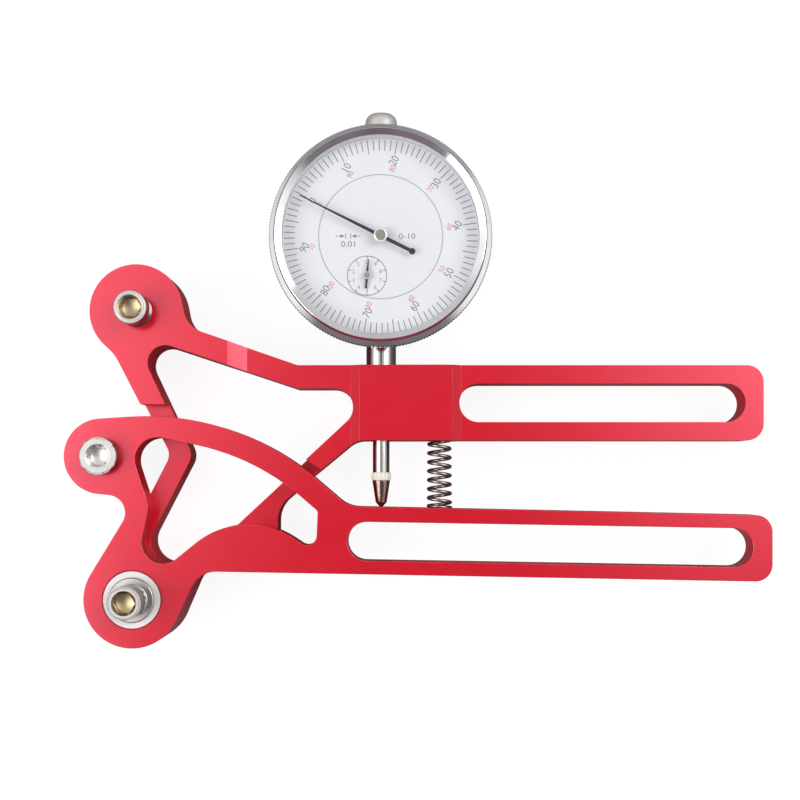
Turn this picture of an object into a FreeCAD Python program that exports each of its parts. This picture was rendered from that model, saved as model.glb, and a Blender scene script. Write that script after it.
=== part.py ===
import FreeCAD, Part
import math
import os

# Spoke tension meter: two slotted frames that cross like scissors, three spoke posts and a dial gauge.
# Millimetres. The origin is on the pivot axis, at the back of the upper frame's pivot boss.
# +X runs to the handle ends, +Y from the lower handle to the dial, +Z out of the dial's face.

Vector = FreeCAD.Vector
ALONG_X = Vector(1, 0, 0)
ALONG_Y = Vector(0, 1, 0)
ALONG_Z = Vector(0, 0, 1)

# ---------------------------------------------------------------- driving dimensions

# Clearances
running_clearance = 0.05
seat_clearance = 0.02
side_clearance = 0.3
thrust_washer_thickness = 0.5

# Thickness of the two frames, stacked along Z
rear_layer_thickness = 12.0
lower_thickness = 10.0
arm_thickness = 11.5
arm_behind_lower = 4.5
disc_step = 1.5
disc_slope_length = 5.1
block_step = 2.0
block_slope_length = 2.4

# Pivot
boss_r = 12.95
pivot_shaft_r = 4.0
pivot_flange_r = 6.0
pivot_flange_thickness = 1.1
pivot_post_height = 12.7
pivot_post_r = 4.4
pivot_post_waist_r = 3.9
pivot_post_waist_length = 3.2
pivot_bush_wall = 1.5
pivot_disc_r = 7.6
pivot_disc_thickness = 1.6
pivot_disc_sink = 1.3
pivot_hole_floor = 2.0
thrust_washer_r = 10.0

# Spoke posts
top_post_x = 0.8
top_post_y = 77.1
top_post_neck_r = 3.2
top_post_neck_height = 5.0
top_post_head_r = 4.4
top_post_head_height = 5.0
top_post_shank_r = 2.5
middle_post_x = -8.1
middle_post_y = 38.2
middle_post_head_r = 4.95
middle_post_head_height = 5.6
middle_post_shank_r = 3.0
shank_end_gap = 1.5
socket_flats = 5.0
socket_depth = 3.4
edge_chamfer = 0.5

# Upper frame: disc, leg and pivot boss
disc_r = 12.45
disc_to_arm_r = 7.0
disc_to_leg_r = 10.0
leg_bend_x = 4.3
leg_bend_y = 38.8
leg_bend_r = 4.0
leg_width = 5.97
leg_to_boss_r = 6.0

# Upper frame: arm, gauge block and handle
arm_bend_x = 43.8
arm_width = 6.2
disc_slope_x = 25.2
handle_top_y = 62.7
handle_height = 20.2
handle_length_past_block = 81.1
handle_corner_r = 4.5
block_left_x = 58.1
block_length = 29.6

# Upper frame: web and brace
web_to_boss_r = 7.0
web_corner_x = 30.0
web_corner_y = 16.2
web_corner_r = 8.0
web_to_brace_r = 8.0
brace_under_block = 3.7
brace_to_block_r = 6.0

# Upper frame opening
opening_top_inset = 7.8
opening_top_gap = 1.45
opening_top_r = 4.75
opening_leg_r = 5.0
opening_low_x = 9.5
opening_low_y = 15.2
opening_low_r = 6.0
opening_web_x = 13.8
opening_web_y = 23.8
opening_web_r = 12.0
opening_right_r = 5.1
opening_under_block = 0.6

# Where the upper frame steps back to let the lower frame cross in front of it
leg_step_gap = 3.3
leg_layer_overlap = 6.7
brace_step_gap = 2.2
brace_layer_overlap = 5.0
brace_step_degrees = 56.0

# Slots of the two handles
slot_to_block = 4.7
slot_end_wall = 4.85
upper_slot_r = 5.17
lower_slot_web = 8.2
lower_slot_end_wall = 5.1
lower_slot_r = 5.17
lower_slot_left_drop = 0.24
lower_slot_right_rise = 0.05

# Lower frame outline
middle_disc_r = 10.05
arch_r = 69.2
arch_width = 6.3
arch_from_disc_degrees = 101.69
arch_to_handle_degrees = 43.2
arch_to_handle_r = 8.0
lower_end_x = 170.4
lower_end_top_y = 22.6
lower_end_height = 17.7
lower_corner_r = 4.5
lower_bar_to_boss_r = 7.0
notch_r = 4.75

# Lower frame opening
window_crown_r = 6.0
window_tip_r = 1.2
window_heel_r = 2.6
window_heel_inset = 3.65
window_toe_r = 5.6
window_toe_inset = 1.21
hump_r = 22.0
limb_width = 6.15
limb_r = 7.0
limb_rise = 1.27

# Main spring
spring_to_block_end = 5.8
spring_depth = 4.4
spring_coil_r = 3.0
spring_wire_r = 0.47
spring_turns = 8.5
spring_wire_sides = 6
spring_bends_per_turn = 12
spring_upper_pocket = 1.5
spring_lower_pocket = 0.8
pocket_clearance = 0.15

# Dial gauge
gauge_to_block_end = 8.1
stem_depth = 5.5
stem_r = 4.0
stem_below_case = 7.5
stem_inset = 2.0
stem_reach = 3.0
spindle_r = 2.25
spindle_below_block = 8.5
spindle_above_dial = 22.8
collar_r = 2.7
collar_length = 2.2
contact_large_r = 2.4
contact_small_r = 1.5
contact_tip_r = 0.5
contact_tip_length = 1.1
contact_shank_r = 1.25
contact_shank_length = 5.0
contact_gap = 0.05
case_r = 26.0
case_wall = 1.6
case_floor = 1.5
cover_thickness = 1.2
cover_step = 0.4
cap_r = 4.3
cap_length = 8.6
cap_dome = 2.6
cap_dome_steps = 4
cap_wall = 1.2
cap_seat_r = 3.6
clamp_screw_r = 2.0
clamp_screw_flats = 2.0
clamp_screw_sink = 0.3

# Bezel, crystal and dials
bezel_wall = 2.0
bezel_belt = 1.45
bezel_belt_height = 2.6
bezel_belt_drop = 3.7
bezel_crest_inset = 0.5
bezel_bevel = 1.2
bezel_skirt = 2.6
bezel_lip = 0.1
bezel_lip_edge = 0.15
bezel_crest_height = 1.0
crystal_lap = 0.2
crystal_thickness = 1.4
crystal_gap = 0.6
dial_thickness = 0.6
inner_dial_r = 16.4
dial_split = 0.15

# Movement
rack_pitch = 0.625
rack_line = 2.0
rack_teeth_above = 4
rack_teeth_below = 13
pinion_teeth = 16
wheel_teeth = 100
centre_teeth = 10
pinion_length = 2.4
tooth_addendum = 0.17
tooth_dedendum = 0.25
tooth_share = 0.40
tooth_tip_width = 0.12
arbor_r = 0.5
arbor_shoulder_r = 0.7
wheel_thickness = 0.6
wheel_rim = 1.6
wheel_spoke = 1.2
wheel_hub_r = 1.8
wheel_to_floor = 2.1
bridge_to_spindle = 0.45
bridge_to_wheel = 0.6
bridge_thickness = 1.0
bridge_r = 17.6
pillar_circle_r = 15.4
pillar_flats = 3.0
pillar_angles = (100, 190, 315)
cock_to_spindle = 0.85
cock_to_cover = 2.2
cock_thickness = 1.0
cock_half_length = 7.0
cock_half_width = 2.2
cock_pillar_offset = 3.4
guide_pin_r = 0.6
guide_pin_rise = 11.8
guide_rail_length = 11.0
guide_rail_width = 4.5
guide_rail_end = 2.0
guide_rail_web = 0.8

# Pointers
main_pointer_rim_gap = 2.2
main_pointer_tail = 9.3
main_pointer_root_width = 1.0
main_pointer_tail_width = 0.9
main_pointer_bulb_r = 0.85
main_pointer_degrees = 63.5
pointer_tip_width = 0.25
pointer_thickness = 0.3
pointer_hub_r = 1.85
pointer_hub_height = 1.3
pointer_eye_r = 1.55
pointer_to_dial = 0.7
pointer_to_pointer = 0.8
small_pointer_length = 4.3
small_pointer_tail = 3.1
small_pointer_root_width = 0.7
small_pointer_tail_width = 0.5
small_pointer_bulb_r = 0.35
small_pointer_eye_r = 0.85
small_pointer_degrees = -5.0

# ---------------------------------------------------------------- places that follow from them

everywhere = 400.0

# Along Z
lower_back = rear_layer_thickness + thrust_washer_thickness
lower_front = lower_back + lower_thickness
arm_back = rear_layer_thickness - arm_behind_lower
arm_front = arm_back + arm_thickness
disc_front = arm_front + disc_step
disc_back = arm_back - disc_step
block_front = arm_front + block_step
block_back = arm_back - block_step
stem_z = block_front - stem_depth
spring_z = block_front - spring_depth
bridge_back_z = stem_z + spindle_r + bridge_to_spindle
bridge_front_z = bridge_back_z + bridge_thickness
counter_wheel_z = bridge_front_z + bridge_to_wheel
case_floor_z = counter_wheel_z + wheel_thickness + wheel_to_floor
case_front_z = case_floor_z + case_floor
cock_front_z = stem_z - spindle_r - cock_to_spindle
cock_back_z = cock_front_z - cock_thickness
case_back_z = cock_back_z - cock_to_cover
gauge_back_z = case_back_z - cover_thickness
small_pointer_z = case_front_z + dial_thickness + pointer_to_dial
main_pointer_z = small_pointer_z + pointer_thickness + pointer_to_pointer
hub_low_z = main_pointer_z + pointer_thickness
hub_high_z = hub_low_z + pointer_hub_height
crystal_z = hub_high_z + crystal_gap
crystal_front_z = crystal_z + crystal_thickness
bezel_front_z = crystal_front_z + bezel_crest_height
bezel_belt_z = bezel_front_z - bezel_belt_drop - bezel_belt_height

# Upper frame, in plan
handle_bottom_y = handle_top_y - handle_height
handle_middle_y = (handle_top_y + handle_bottom_y) / 2
block_right_x = block_left_x + block_length
handle_end_x = block_right_x + handle_length_past_block
opening_top_x = top_post_x + opening_top_inset
opening_top_y = top_post_y - disc_r - opening_top_gap
opening_leg_x = leg_bend_x + leg_bend_r + leg_width - opening_leg_r
opening_right_x = block_left_x + opening_under_block - opening_right_r
opening_right_y = handle_top_y - arm_width - opening_right_r

# Gauge
gauge_x = block_left_x + gauge_to_block_end
spring_x = block_right_x - spring_to_block_end
dial_y = handle_top_y + stem_below_case + case_r
case_inner_r = case_r - case_wall
spindle_low_y = handle_bottom_y - spindle_below_block
spindle_top_y = dial_y + spindle_above_dial
guide_pin_y = dial_y + guide_pin_rise
crystal_r = case_r + crystal_lap
main_pointer_length = case_r - main_pointer_rim_gap

# Gear train
pinion_pitch_r = pinion_teeth * rack_pitch / (2 * math.pi)
wheel_pitch_r = wheel_teeth * rack_pitch / (2 * math.pi)
centre_pitch_r = centre_teeth * rack_pitch / (2 * math.pi)
wheel_centres = wheel_pitch_r + centre_pitch_r
counter_x = gauge_x - rack_line - pinion_pitch_r
counter_heading = -math.pi / 2 - math.asin((gauge_x - counter_x) / wheel_centres)
counter_y = dial_y + wheel_centres * math.sin(counter_heading)


# ---------------------------------------------------------------- drawing helpers

def polar(circle, distance, degrees):
    """A point at a distance from a circle's centre, in a direction."""
    turn = math.radians(degrees)
    return circle[0] + distance * math.cos(turn), circle[1] + distance * math.sin(turn)


def hollow_beside(circle, degrees, radius, gap):
    """A hollow fillet circle just outside a round corner."""
    x, y = polar(circle, abs(circle[2]) + radius + gap, degrees)
    return x, y, -radius


def round_inside(circle, degrees, radius, gap):
    """A smaller round corner just inside a large round."""
    x, y = polar(circle, circle[2] - radius - gap, degrees)
    return x, y, radius


def round_about(circle, degrees, radius, gap):
    """A large round that runs on from a small one, which lies just inside it."""
    x, y = polar(circle, circle[2] - radius - gap, degrees)
    return x, y, radius


def placed_between(first, first_distance, second, second_distance, side):
    """The point at given distances from two circles' centres, left (1) or right (-1) of the line between them."""
    first_x, first_y = first[:2]
    span_x = second[0] - first_x
    span_y = second[1] - first_y
    span = math.hypot(span_x, span_y)
    along = (span**2 + first_distance**2 - second_distance**2) / (2 * span)
    across = side * math.sqrt(first_distance**2 - along**2)
    x = first_x + (along * span_x - across * span_y) / span
    y = first_y + (along * span_y + across * span_x) / span
    return x, y


def outline(circles):
    """A closed wire round circles (x, y, r): counter-clockwise where r is positive, clockwise where
    it is negative, a sharp corner where it is 0, with straight tangents between them."""
    count = len(circles)
    leaving = []
    for index in range(count):
        x0, y0, r0 = circles[index]
        x1, y1, r1 = circles[(index + 1) % count]
        span = math.hypot(x1 - x0, y1 - y0)
        heading = math.atan2(y1 - y0, x1 - x0) - math.asin((r1 - r0) / span)
        leaving.append(heading)

    def on_circle(circle, heading):
        x, y, r = circle
        return Vector(x + r * math.sin(heading), y - r * math.cos(heading), 0)

    edges = []
    for index in range(count):
        circle = circles[index]
        heading_in = leaving[index - 1]
        heading_out = leaving[index]
        start = on_circle(circle, heading_in)
        end = on_circle(circle, heading_out)
        if circle[2] > 0:
            turn = (heading_out - heading_in) % (2 * math.pi)
        else:
            turn = -((heading_in - heading_out) % (2 * math.pi))
        if circle[2] != 0:
            middle = on_circle(circle, heading_in + turn / 2)
            edges.append(Part.Arc(start, middle, end).toShape())
        next_circle = circles[(index + 1) % count]
        edges.append(Part.LineSegment(end, on_circle(next_circle, heading_out)).toShape())
    return Part.Wire(edges)


def polygon(points):
    """A closed wire through points (x, y)."""
    corners = [Vector(x, y, 0) for x, y in points]
    return Part.makePolygon(corners + corners[:1])


def prism(wire, low_z, high_z):
    """A flat wire raised from one height to another."""
    solid = Part.Face(wire).extrude(Vector(0, 0, high_z - low_z))
    solid.translate(Vector(0, 0, low_z))
    return solid


def side_prism(points):
    """A profile of (x, z) points that runs right through along Y."""
    corners = [Vector(x, -everywhere, z) for x, z in points]
    wire = Part.makePolygon(corners + corners[:1])
    return Part.Face(wire).extrude(Vector(0, 2 * everywhere, 0))


def disc(x, y, radius, low_z, high_z):
    """A round solid along Z."""
    return Part.makeCylinder(radius, high_z - low_z, Vector(x, y, low_z), ALONG_Z)


def ring(x, y, outer_r, inner_r, low_z, high_z):
    """A washer or tube along Z."""
    return disc(x, y, outer_r, low_z, high_z).cut(disc(x, y, inner_r, low_z - 1, high_z + 1))


def rod(x, z, radius, low_y, high_y):
    """A round solid along Y."""
    return Part.makeCylinder(radius, high_y - low_y, Vector(x, low_y, z), ALONG_Y)


def cone(x, z, low_r, high_r, low_y, high_y):
    """A cone along Y."""
    return Part.makeCone(low_r, high_r, high_y - low_y, Vector(x, low_y, z), ALONG_Y)


def revolved(x, y, points):
    """A profile of (radius, z) points turned about an axis along Z."""
    corners = [Vector(x + r, y, z) for r, z in points]
    wire = Part.makePolygon(corners + corners[:1])
    return Part.Face(wire).revolve(Vector(x, y, 0), ALONG_Z, 360)


def revolved_along_y(x, z, points):
    """A profile of (radius, y) points turned about an axis along Y."""
    corners = [Vector(x + r, y, z) for r, y in points]
    wire = Part.makePolygon(corners + corners[:1])
    return Part.Face(wire).revolve(Vector(x, 0, z), ALONG_Y, 360)


def hexagon(x, y, flats, low_z, high_z):
    """A six-sided solid along Z, given across its flats."""
    corner_r = flats / math.sqrt(3)
    points = [polar((x, y), corner_r, 60 * side) for side in range(6)]
    return prism(polygon(points), low_z, high_z)


def fused(solids):
    """One solid from several that touch."""
    whole = solids[0]
    for solid in solids[1:]:
        whole = whole.fuse(solid)
    return whole.removeSplitter()


def write(node, shape):
    """Keep one sub-part as a STEP file."""
    shape.exportStep(os.path.join("parts", node + ".step"))


# ---------------------------------------------------------------- the two frames

boss_circle = (0.0, 0.0, boss_r)
top_disc_circle = (top_post_x, top_post_y, disc_r)
middle_disc_circle = (middle_post_x, middle_post_y, middle_disc_r)
arch_circle = round_about(middle_disc_circle, arch_from_disc_degrees, arch_r, 0.59)
inner_arch_circle = (arch_circle[0], arch_circle[1], arch_r - arch_width)
handle_hollow = hollow_beside(arch_circle, arch_to_handle_degrees, arch_to_handle_r, 0.48)
notch_hollow = hollow_beside(middle_disc_circle, -84.3, notch_r, 0.3)
heel_circle = round_inside(inner_arch_circle, 41.4, window_heel_r, window_heel_inset)


def upper_outline():
    corner_x = handle_end_x - handle_corner_r
    web_corner = (web_corner_x, web_corner_y, web_corner_r)
    brace_to_block_x = block_left_x + brace_under_block
    return outline([
        (corner_x, handle_bottom_y + handle_corner_r, handle_corner_r),
        (corner_x, handle_top_y - handle_corner_r, handle_corner_r),
        (arm_bend_x, handle_top_y, 0),
        hollow_beside(top_disc_circle, 3.2, disc_to_arm_r, 0.2),
        top_disc_circle,
        hollow_beside(top_disc_circle, 232.3, disc_to_leg_r, 0.1),
        (leg_bend_x, leg_bend_y, -leg_bend_r),
        hollow_beside(boss_circle, 119.1, leg_to_boss_r, 0.2),
        boss_circle,
        hollow_beside(boss_circle, 3.1, web_to_boss_r, 2.3),
        web_corner,
        hollow_beside(web_corner, 16.0, web_to_brace_r, 0.6),
        (brace_to_block_x, handle_bottom_y - brace_to_block_r, -brace_to_block_r),
    ])


def upper_opening():
    return outline([
        (opening_low_x, opening_low_y, opening_low_r),
        (opening_web_x, opening_web_y, opening_web_r),
        (opening_right_x, opening_right_y, opening_right_r),
        (arm_bend_x, handle_top_y - arm_width, 0),
        (opening_top_x, opening_top_y, opening_top_r),
        (opening_leg_x, leg_bend_y, -opening_leg_r),
    ])


def slot(left_x, left_y, right_x, right_y, radius):
    return outline([(left_x, left_y, radius), (right_x, right_y, radius)])


def beyond_faces(side):
    """Everything in front of the upper frame's stepped front (side 1) or behind its back (side -1)."""
    if side > 0:
        disc_z, arm_z, block_z = disc_front, arm_front, block_front
    else:
        disc_z, arm_z, block_z = disc_back, arm_back, block_back
    away = side * everywhere
    return side_prism([
        (-everywhere, disc_z),
        (disc_slope_x, disc_z),
        (disc_slope_x + disc_slope_length, arm_z),
        (block_left_x, arm_z),
        (block_left_x + block_slope_length, block_z),
        (block_right_x - block_slope_length, block_z),
        (block_right_x, arm_z),
        (everywhere, arm_z),
        (everywhere, away),
        (-everywhere, away),
    ])


def crossing_region(leg_gap, brace_gap):
    """The plan of what lies within a gap of the lower frame's arch, on its leg side and its brace side."""
    top_y = arch_circle[1] + arch_r + leg_gap
    step_x, step_y = polar(arch_circle, arch_r + brace_gap, brace_step_degrees)
    slope = -1 / math.tan(math.radians(brace_step_degrees))
    right_x = block_left_x + brace_under_block
    meet_x = step_x + (top_y - step_y) / slope
    right_y = step_y + slope * (right_x - step_x)
    return polygon([
        (-everywhere, -everywhere),
        (right_x, -everywhere),
        (right_x, right_y),
        (meet_x, top_y),
        (-everywhere, top_y),
    ])


def spring_pocket(mouth_y, floor_y):
    """A round pocket for the spring's end, cut from the open side of a handle to its floor."""
    pocket_r = spring_coil_r + spring_wire_r + pocket_clearance
    return rod(spring_x, spring_z, pocket_r, min(mouth_y, floor_y), max(mouth_y, floor_y))


def make_upper_frame():
    below_z = -1.0
    above_z = block_front + 1
    plate = prism(upper_outline(), 0, above_z)
    plate = plate.cut(prism(upper_opening(), below_z, above_z))
    slot_left_x = block_right_x + slot_to_block
    slot_right_x = handle_end_x - slot_end_wall - upper_slot_r
    upper_slot = slot(slot_left_x, handle_middle_y, slot_right_x, handle_middle_y, upper_slot_r)
    plate = plate.cut(prism(upper_slot, below_z, above_z))
    plate = plate.cut(beyond_faces(1))
    front_cut = crossing_region(leg_step_gap, brace_step_gap)
    plate = plate.cut(prism(front_cut, rear_layer_thickness, above_z))
    back_region = crossing_region(leg_step_gap - leg_layer_overlap, brace_step_gap - brace_layer_overlap)
    plate = plate.cut(beyond_faces(-1).cut(prism(back_region, below_z, above_z)))
    holes = [
        rod(gauge_x, stem_z, stem_r + seat_clearance, handle_bottom_y - stem_r, handle_top_y + stem_r),
        spring_pocket(handle_bottom_y - spring_coil_r, handle_bottom_y + spring_upper_pocket),
        disc(gauge_x, handle_middle_y, clamp_screw_r + seat_clearance, below_z, stem_z),
        disc(top_post_x, top_post_y, top_post_shank_r + seat_clearance, below_z, above_z),
        disc(0, 0, pivot_shaft_r + seat_clearance, pivot_hole_floor, above_z),
    ]
    for hole in holes:
        plate = plate.cut(hole)
    return plate


def lower_end_bottom_y():
    return lower_end_top_y - lower_end_height


def lower_handle_top(x):
    """Height of the lower handle's top edge at x, with the handles at rest."""
    corner_x = lower_end_x - lower_corner_r
    start_y = handle_hollow[1] - arch_to_handle_r
    slope = (lower_end_top_y - start_y) / (corner_x - handle_hollow[0])
    return start_y + slope * (x - handle_hollow[0])


def lower_bar_hollow():
    return hollow_beside(boss_circle, 1.3, lower_bar_to_boss_r, 2.35)


def lower_handle_middle(x):
    """Height of the lower handle's middle line at x."""
    hollow = lower_bar_hollow()
    corner_x = lower_end_x - lower_corner_r
    start_y = hollow[1] + lower_bar_to_boss_r
    slope = (lower_end_bottom_y() - start_y) / (corner_x - hollow[0])
    return (lower_handle_top(x) + start_y + slope * (x - hollow[0])) / 2


def lower_outline():
    corner_x = lower_end_x - lower_corner_r
    return outline([
        lower_bar_hollow(),
        (corner_x, lower_end_bottom_y() + lower_corner_r, lower_corner_r),
        (corner_x, lower_end_top_y - lower_corner_r, lower_corner_r),
        handle_hollow,
        arch_circle,
        middle_disc_circle,
        notch_hollow,
        boss_circle,
    ])


def lower_window():
    limb_x = notch_hollow[0] + notch_r + limb_width - limb_r
    limb = (limb_x, notch_hollow[1] + limb_rise, -limb_r)
    from_boss = boss_r + window_toe_r - window_toe_inset
    toe_x, toe_y = placed_between(boss_circle, from_boss, limb, limb_r + window_toe_r + 1.66, -1)
    toe = (toe_x, toe_y, window_toe_r)
    from_toe = window_toe_r + hump_r + 0.8
    from_heel = window_heel_r + hump_r + 0.12
    hump_x, hump_y = placed_between(toe, from_toe, heel_circle, from_heel, -1)
    from_arch = inner_arch_circle[2] - window_crown_r + 0.7
    crown_x, crown_y = placed_between(inner_arch_circle, from_arch, limb, limb_r + window_crown_r + 2.94, -1)
    return outline([
        heel_circle,
        round_inside(inner_arch_circle, 44.5, window_tip_r, -0.2),
        inner_arch_circle,
        (crown_x, crown_y, window_crown_r),
        limb,
        toe,
        (hump_x, hump_y, -hump_r),
    ])


def make_lower_frame():
    below_z = lower_back - 1
    above_z = lower_front + 1
    plate = prism(lower_outline(), lower_back, lower_front)
    plate = plate.cut(prism(lower_window(), below_z, above_z))
    left_x = heel_circle[0] + window_heel_r + lower_slot_web + lower_slot_r
    left_y = lower_handle_middle(left_x) - lower_slot_left_drop
    right_x = lower_end_x - lower_slot_end_wall - lower_slot_r
    right_y = lower_handle_middle(right_x) + lower_slot_right_rise
    plate = plate.cut(prism(slot(left_x, left_y, right_x, right_y, lower_slot_r), below_z, above_z))
    bush_r = pivot_shaft_r + running_clearance + pivot_bush_wall
    counterbore_z = lower_front - pivot_disc_sink
    post_hole_r = middle_post_shank_r + seat_clearance
    seat_y = lower_handle_top(spring_x) - spring_lower_pocket
    holes = [
        disc(0, 0, bush_r, below_z, above_z),
        disc(0, 0, pivot_disc_r + side_clearance, counterbore_z, above_z),
        disc(middle_post_x, middle_post_y, post_hole_r, below_z, above_z),
        spring_pocket(seat_y + 2 * spring_coil_r, seat_y),
    ]
    for hole in holes:
        plate = plate.cut(hole)
    return plate


# ---------------------------------------------------------------- pivot and posts

def hex_socket(x, y, flats, depth, front_z):
    return hexagon(x, y, flats, front_z - depth, front_z + 1)


def make_pivot_post():
    """Shaft, flange and spoke post in one turned piece, with a hexagon socket in its front."""
    flange_z = lower_front - pivot_disc_sink + pivot_disc_thickness
    post_z = flange_z + pivot_flange_thickness
    front_z = lower_front + pivot_post_height
    waist_z = post_z + edge_chamfer
    low_z = pivot_hole_floor + edge_chamfer
    body = revolved(0, 0, [
        (0, low_z),
        (pivot_shaft_r, low_z),
        (pivot_shaft_r, flange_z),
        (pivot_flange_r, flange_z),
        (pivot_flange_r, post_z - edge_chamfer / 2),
        (pivot_flange_r - edge_chamfer / 2, post_z),
        (pivot_post_r, post_z),
        (pivot_post_waist_r, waist_z),
        (pivot_post_waist_r, waist_z + pivot_post_waist_length),
        (pivot_post_r, waist_z + pivot_post_waist_length + edge_chamfer),
        (pivot_post_r, front_z - edge_chamfer),
        (pivot_post_r - edge_chamfer, front_z),
        (0, front_z),
    ])
    return body.cut(hex_socket(0, 0, socket_flats, socket_depth, front_z))


def make_pivot_bush():
    """Bearing bush pressed into the lower frame."""
    inner_r = pivot_shaft_r + running_clearance
    top_z = lower_front - pivot_disc_sink - running_clearance
    return ring(0, 0, inner_r + pivot_bush_wall, inner_r, lower_back, top_z)


def make_pivot_disc():
    """Pale washer in the lower frame's counterbore, under the post's flange."""
    low_z = lower_front - pivot_disc_sink + running_clearance
    high_z = lower_front - pivot_disc_sink + pivot_disc_thickness
    return ring(0, 0, pivot_disc_r, pivot_shaft_r + seat_clearance, low_z, high_z)


def make_thrust_washer():
    low_z = rear_layer_thickness
    high_z = lower_back - seat_clearance
    return ring(0, 0, thrust_washer_r, pivot_shaft_r + seat_clearance, low_z, high_z)


def make_top_post():
    """Waisted socket screw on the upper frame's disc."""
    head_z = disc_front + top_post_neck_height
    front_z = head_z + top_post_head_height
    low_z = disc_back + shank_end_gap
    post = revolved(top_post_x, top_post_y, [
        (0, low_z),
        (top_post_shank_r, low_z),
        (top_post_shank_r, disc_front),
        (top_post_head_r, disc_front),
        (top_post_neck_r, disc_front + edge_chamfer),
        (top_post_neck_r, head_z - edge_chamfer),
        (top_post_head_r, head_z),
        (top_post_head_r, front_z - edge_chamfer),
        (top_post_head_r - edge_chamfer, front_z),
        (0, front_z),
    ])
    return post.cut(hex_socket(top_post_x, top_post_y, socket_flats, socket_depth, front_z))


def make_middle_post():
    """Socket screw on the lower frame's disc."""
    front_z = lower_front + middle_post_head_height
    low_z = lower_back + shank_end_gap
    post = revolved(middle_post_x, middle_post_y, [
        (0, low_z),
        (middle_post_shank_r, low_z),
        (middle_post_shank_r, lower_front),
        (middle_post_head_r, lower_front),
        (middle_post_head_r, front_z - edge_chamfer),
        (middle_post_head_r - edge_chamfer, front_z),
        (0, front_z),
    ])
    return post.cut(hex_socket(middle_post_x, middle_post_y, socket_flats, socket_depth, front_z))


def wire_section(turn_angle, rise, coil_r, wire_r, lead):
    """The wire's six-sided section square to a left-hand coil along Z, at one angle of the coil."""
    outward = Vector(math.cos(turn_angle), -math.sin(turn_angle), 0)
    round_the_coil = Vector(-math.sin(turn_angle), -math.cos(turn_angle), 0)
    forward = round_the_coil * (2 * math.pi * coil_r) + ALONG_Z * lead
    upward = outward.cross(forward)
    upward.normalize()
    centre = outward * coil_r + ALONG_Z * rise
    corners = []
    for side in range(spring_wire_sides + 1):
        across, along = polar((0, 0), wire_r, side * 360 / spring_wire_sides)
        corners.append(centre + outward * across + upward * along)
    return Part.makePolygon(corners)


def make_coil(turns, length, coil_r, wire_r, x, z, low_y):
    """A left-hand wire coil along Y, bent in short straight lengths."""
    bends = round(turns * spring_bends_per_turn)
    sections = []
    for bend in range(bends + 1):
        share = bend / bends
        turn_angle = share * turns * 2 * math.pi
        sections.append(wire_section(turn_angle, share * length, coil_r, wire_r, length / turns))
    coil = Part.makeLoft(sections, True, True)
    coil.rotate(Vector(0, 0, 0), ALONG_X, -90)
    coil.translate(Vector(x, low_y, z))
    return coil


def make_main_spring():
    """Compression spring from the lower handle's seat to the pocket in the gauge block."""
    low_y = lower_handle_top(spring_x) - spring_lower_pocket + spring_wire_r + running_clearance
    high_y = handle_bottom_y + spring_upper_pocket - spring_wire_r - running_clearance
    return make_coil(spring_turns, high_y - low_y, spring_coil_r, spring_wire_r, spring_x, spring_z, low_y)


def make_clamp_screw():
    """Set screw in the back of the block that holds the gauge's stem."""
    low_z = block_back + clamp_screw_sink
    high_z = stem_z - stem_r - seat_clearance
    screw = disc(gauge_x, handle_middle_y, clamp_screw_r, low_z, high_z)
    socket_z = low_z + clamp_screw_flats
    return screw.cut(hexagon(gauge_x, handle_middle_y, clamp_screw_flats, low_z - 1, socket_z))


# ---------------------------------------------------------------- gauge body and spindle

def make_gauge_case():
    """Round case with a floor behind the dial, open to the back."""
    case = disc(gauge_x, dial_y, case_r, case_back_z, case_front_z)
    case = case.cut(disc(gauge_x, dial_y, case_inner_r, case_back_z - 1, case_floor_z))
    case = case.cut(rod(gauge_x, stem_z, stem_r + seat_clearance, dial_y - case_r - 1, dial_y))
    case = case.cut(rod(gauge_x, stem_z, cap_seat_r + seat_clearance, dial_y, dial_y + case_r + 1))
    for x, y in ((gauge_x, dial_y), (counter_x, counter_y)):
        case = case.cut(disc(x, y, arbor_r + running_clearance, case_floor_z - 1, case_front_z + 1))
    return case


def make_back_cover():
    """Lid pressed into the back of the case."""
    lid = disc(gauge_x, dial_y, case_r - cover_step, gauge_back_z, case_back_z)
    spigot = disc(gauge_x, dial_y, case_inner_r - seat_clearance, gauge_back_z, case_back_z + cover_thickness)
    return fused([lid, spigot])


def stem_low_y():
    return handle_bottom_y + stem_inset


def make_gauge_stem():
    """Tube in the block that guides the spindle, pressed into the case's wall."""
    top_y = dial_y - case_inner_r + stem_reach
    stem = rod(gauge_x, stem_z, stem_r, stem_low_y(), top_y)
    return stem.cut(rod(gauge_x, stem_z, spindle_r + running_clearance, stem_low_y() - 1, top_y + 1))


def make_stem_cap():
    """Domed cap over the spindle's upper end."""
    case_top_y = dial_y + case_r
    seat_y = case_top_y - case_wall + seat_clearance
    cap_top_y = case_top_y + cap_length
    bore_r = cap_seat_r - cap_wall
    dome_centre = (cap_r - cap_dome, cap_top_y - cap_dome)
    dome = [polar(dome_centre, cap_dome, 90 * step / cap_dome_steps) for step in range(cap_dome_steps + 1)]
    return revolved_along_y(gauge_x, stem_z, [
        (bore_r, seat_y),
        (cap_seat_r, seat_y),
        (cap_seat_r, case_top_y),
        (cap_r, case_top_y),
        *dome,
        (0, cap_top_y),
        (0, cap_top_y - cap_wall),
        (bore_r, cap_top_y - cap_wall),
    ])


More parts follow.
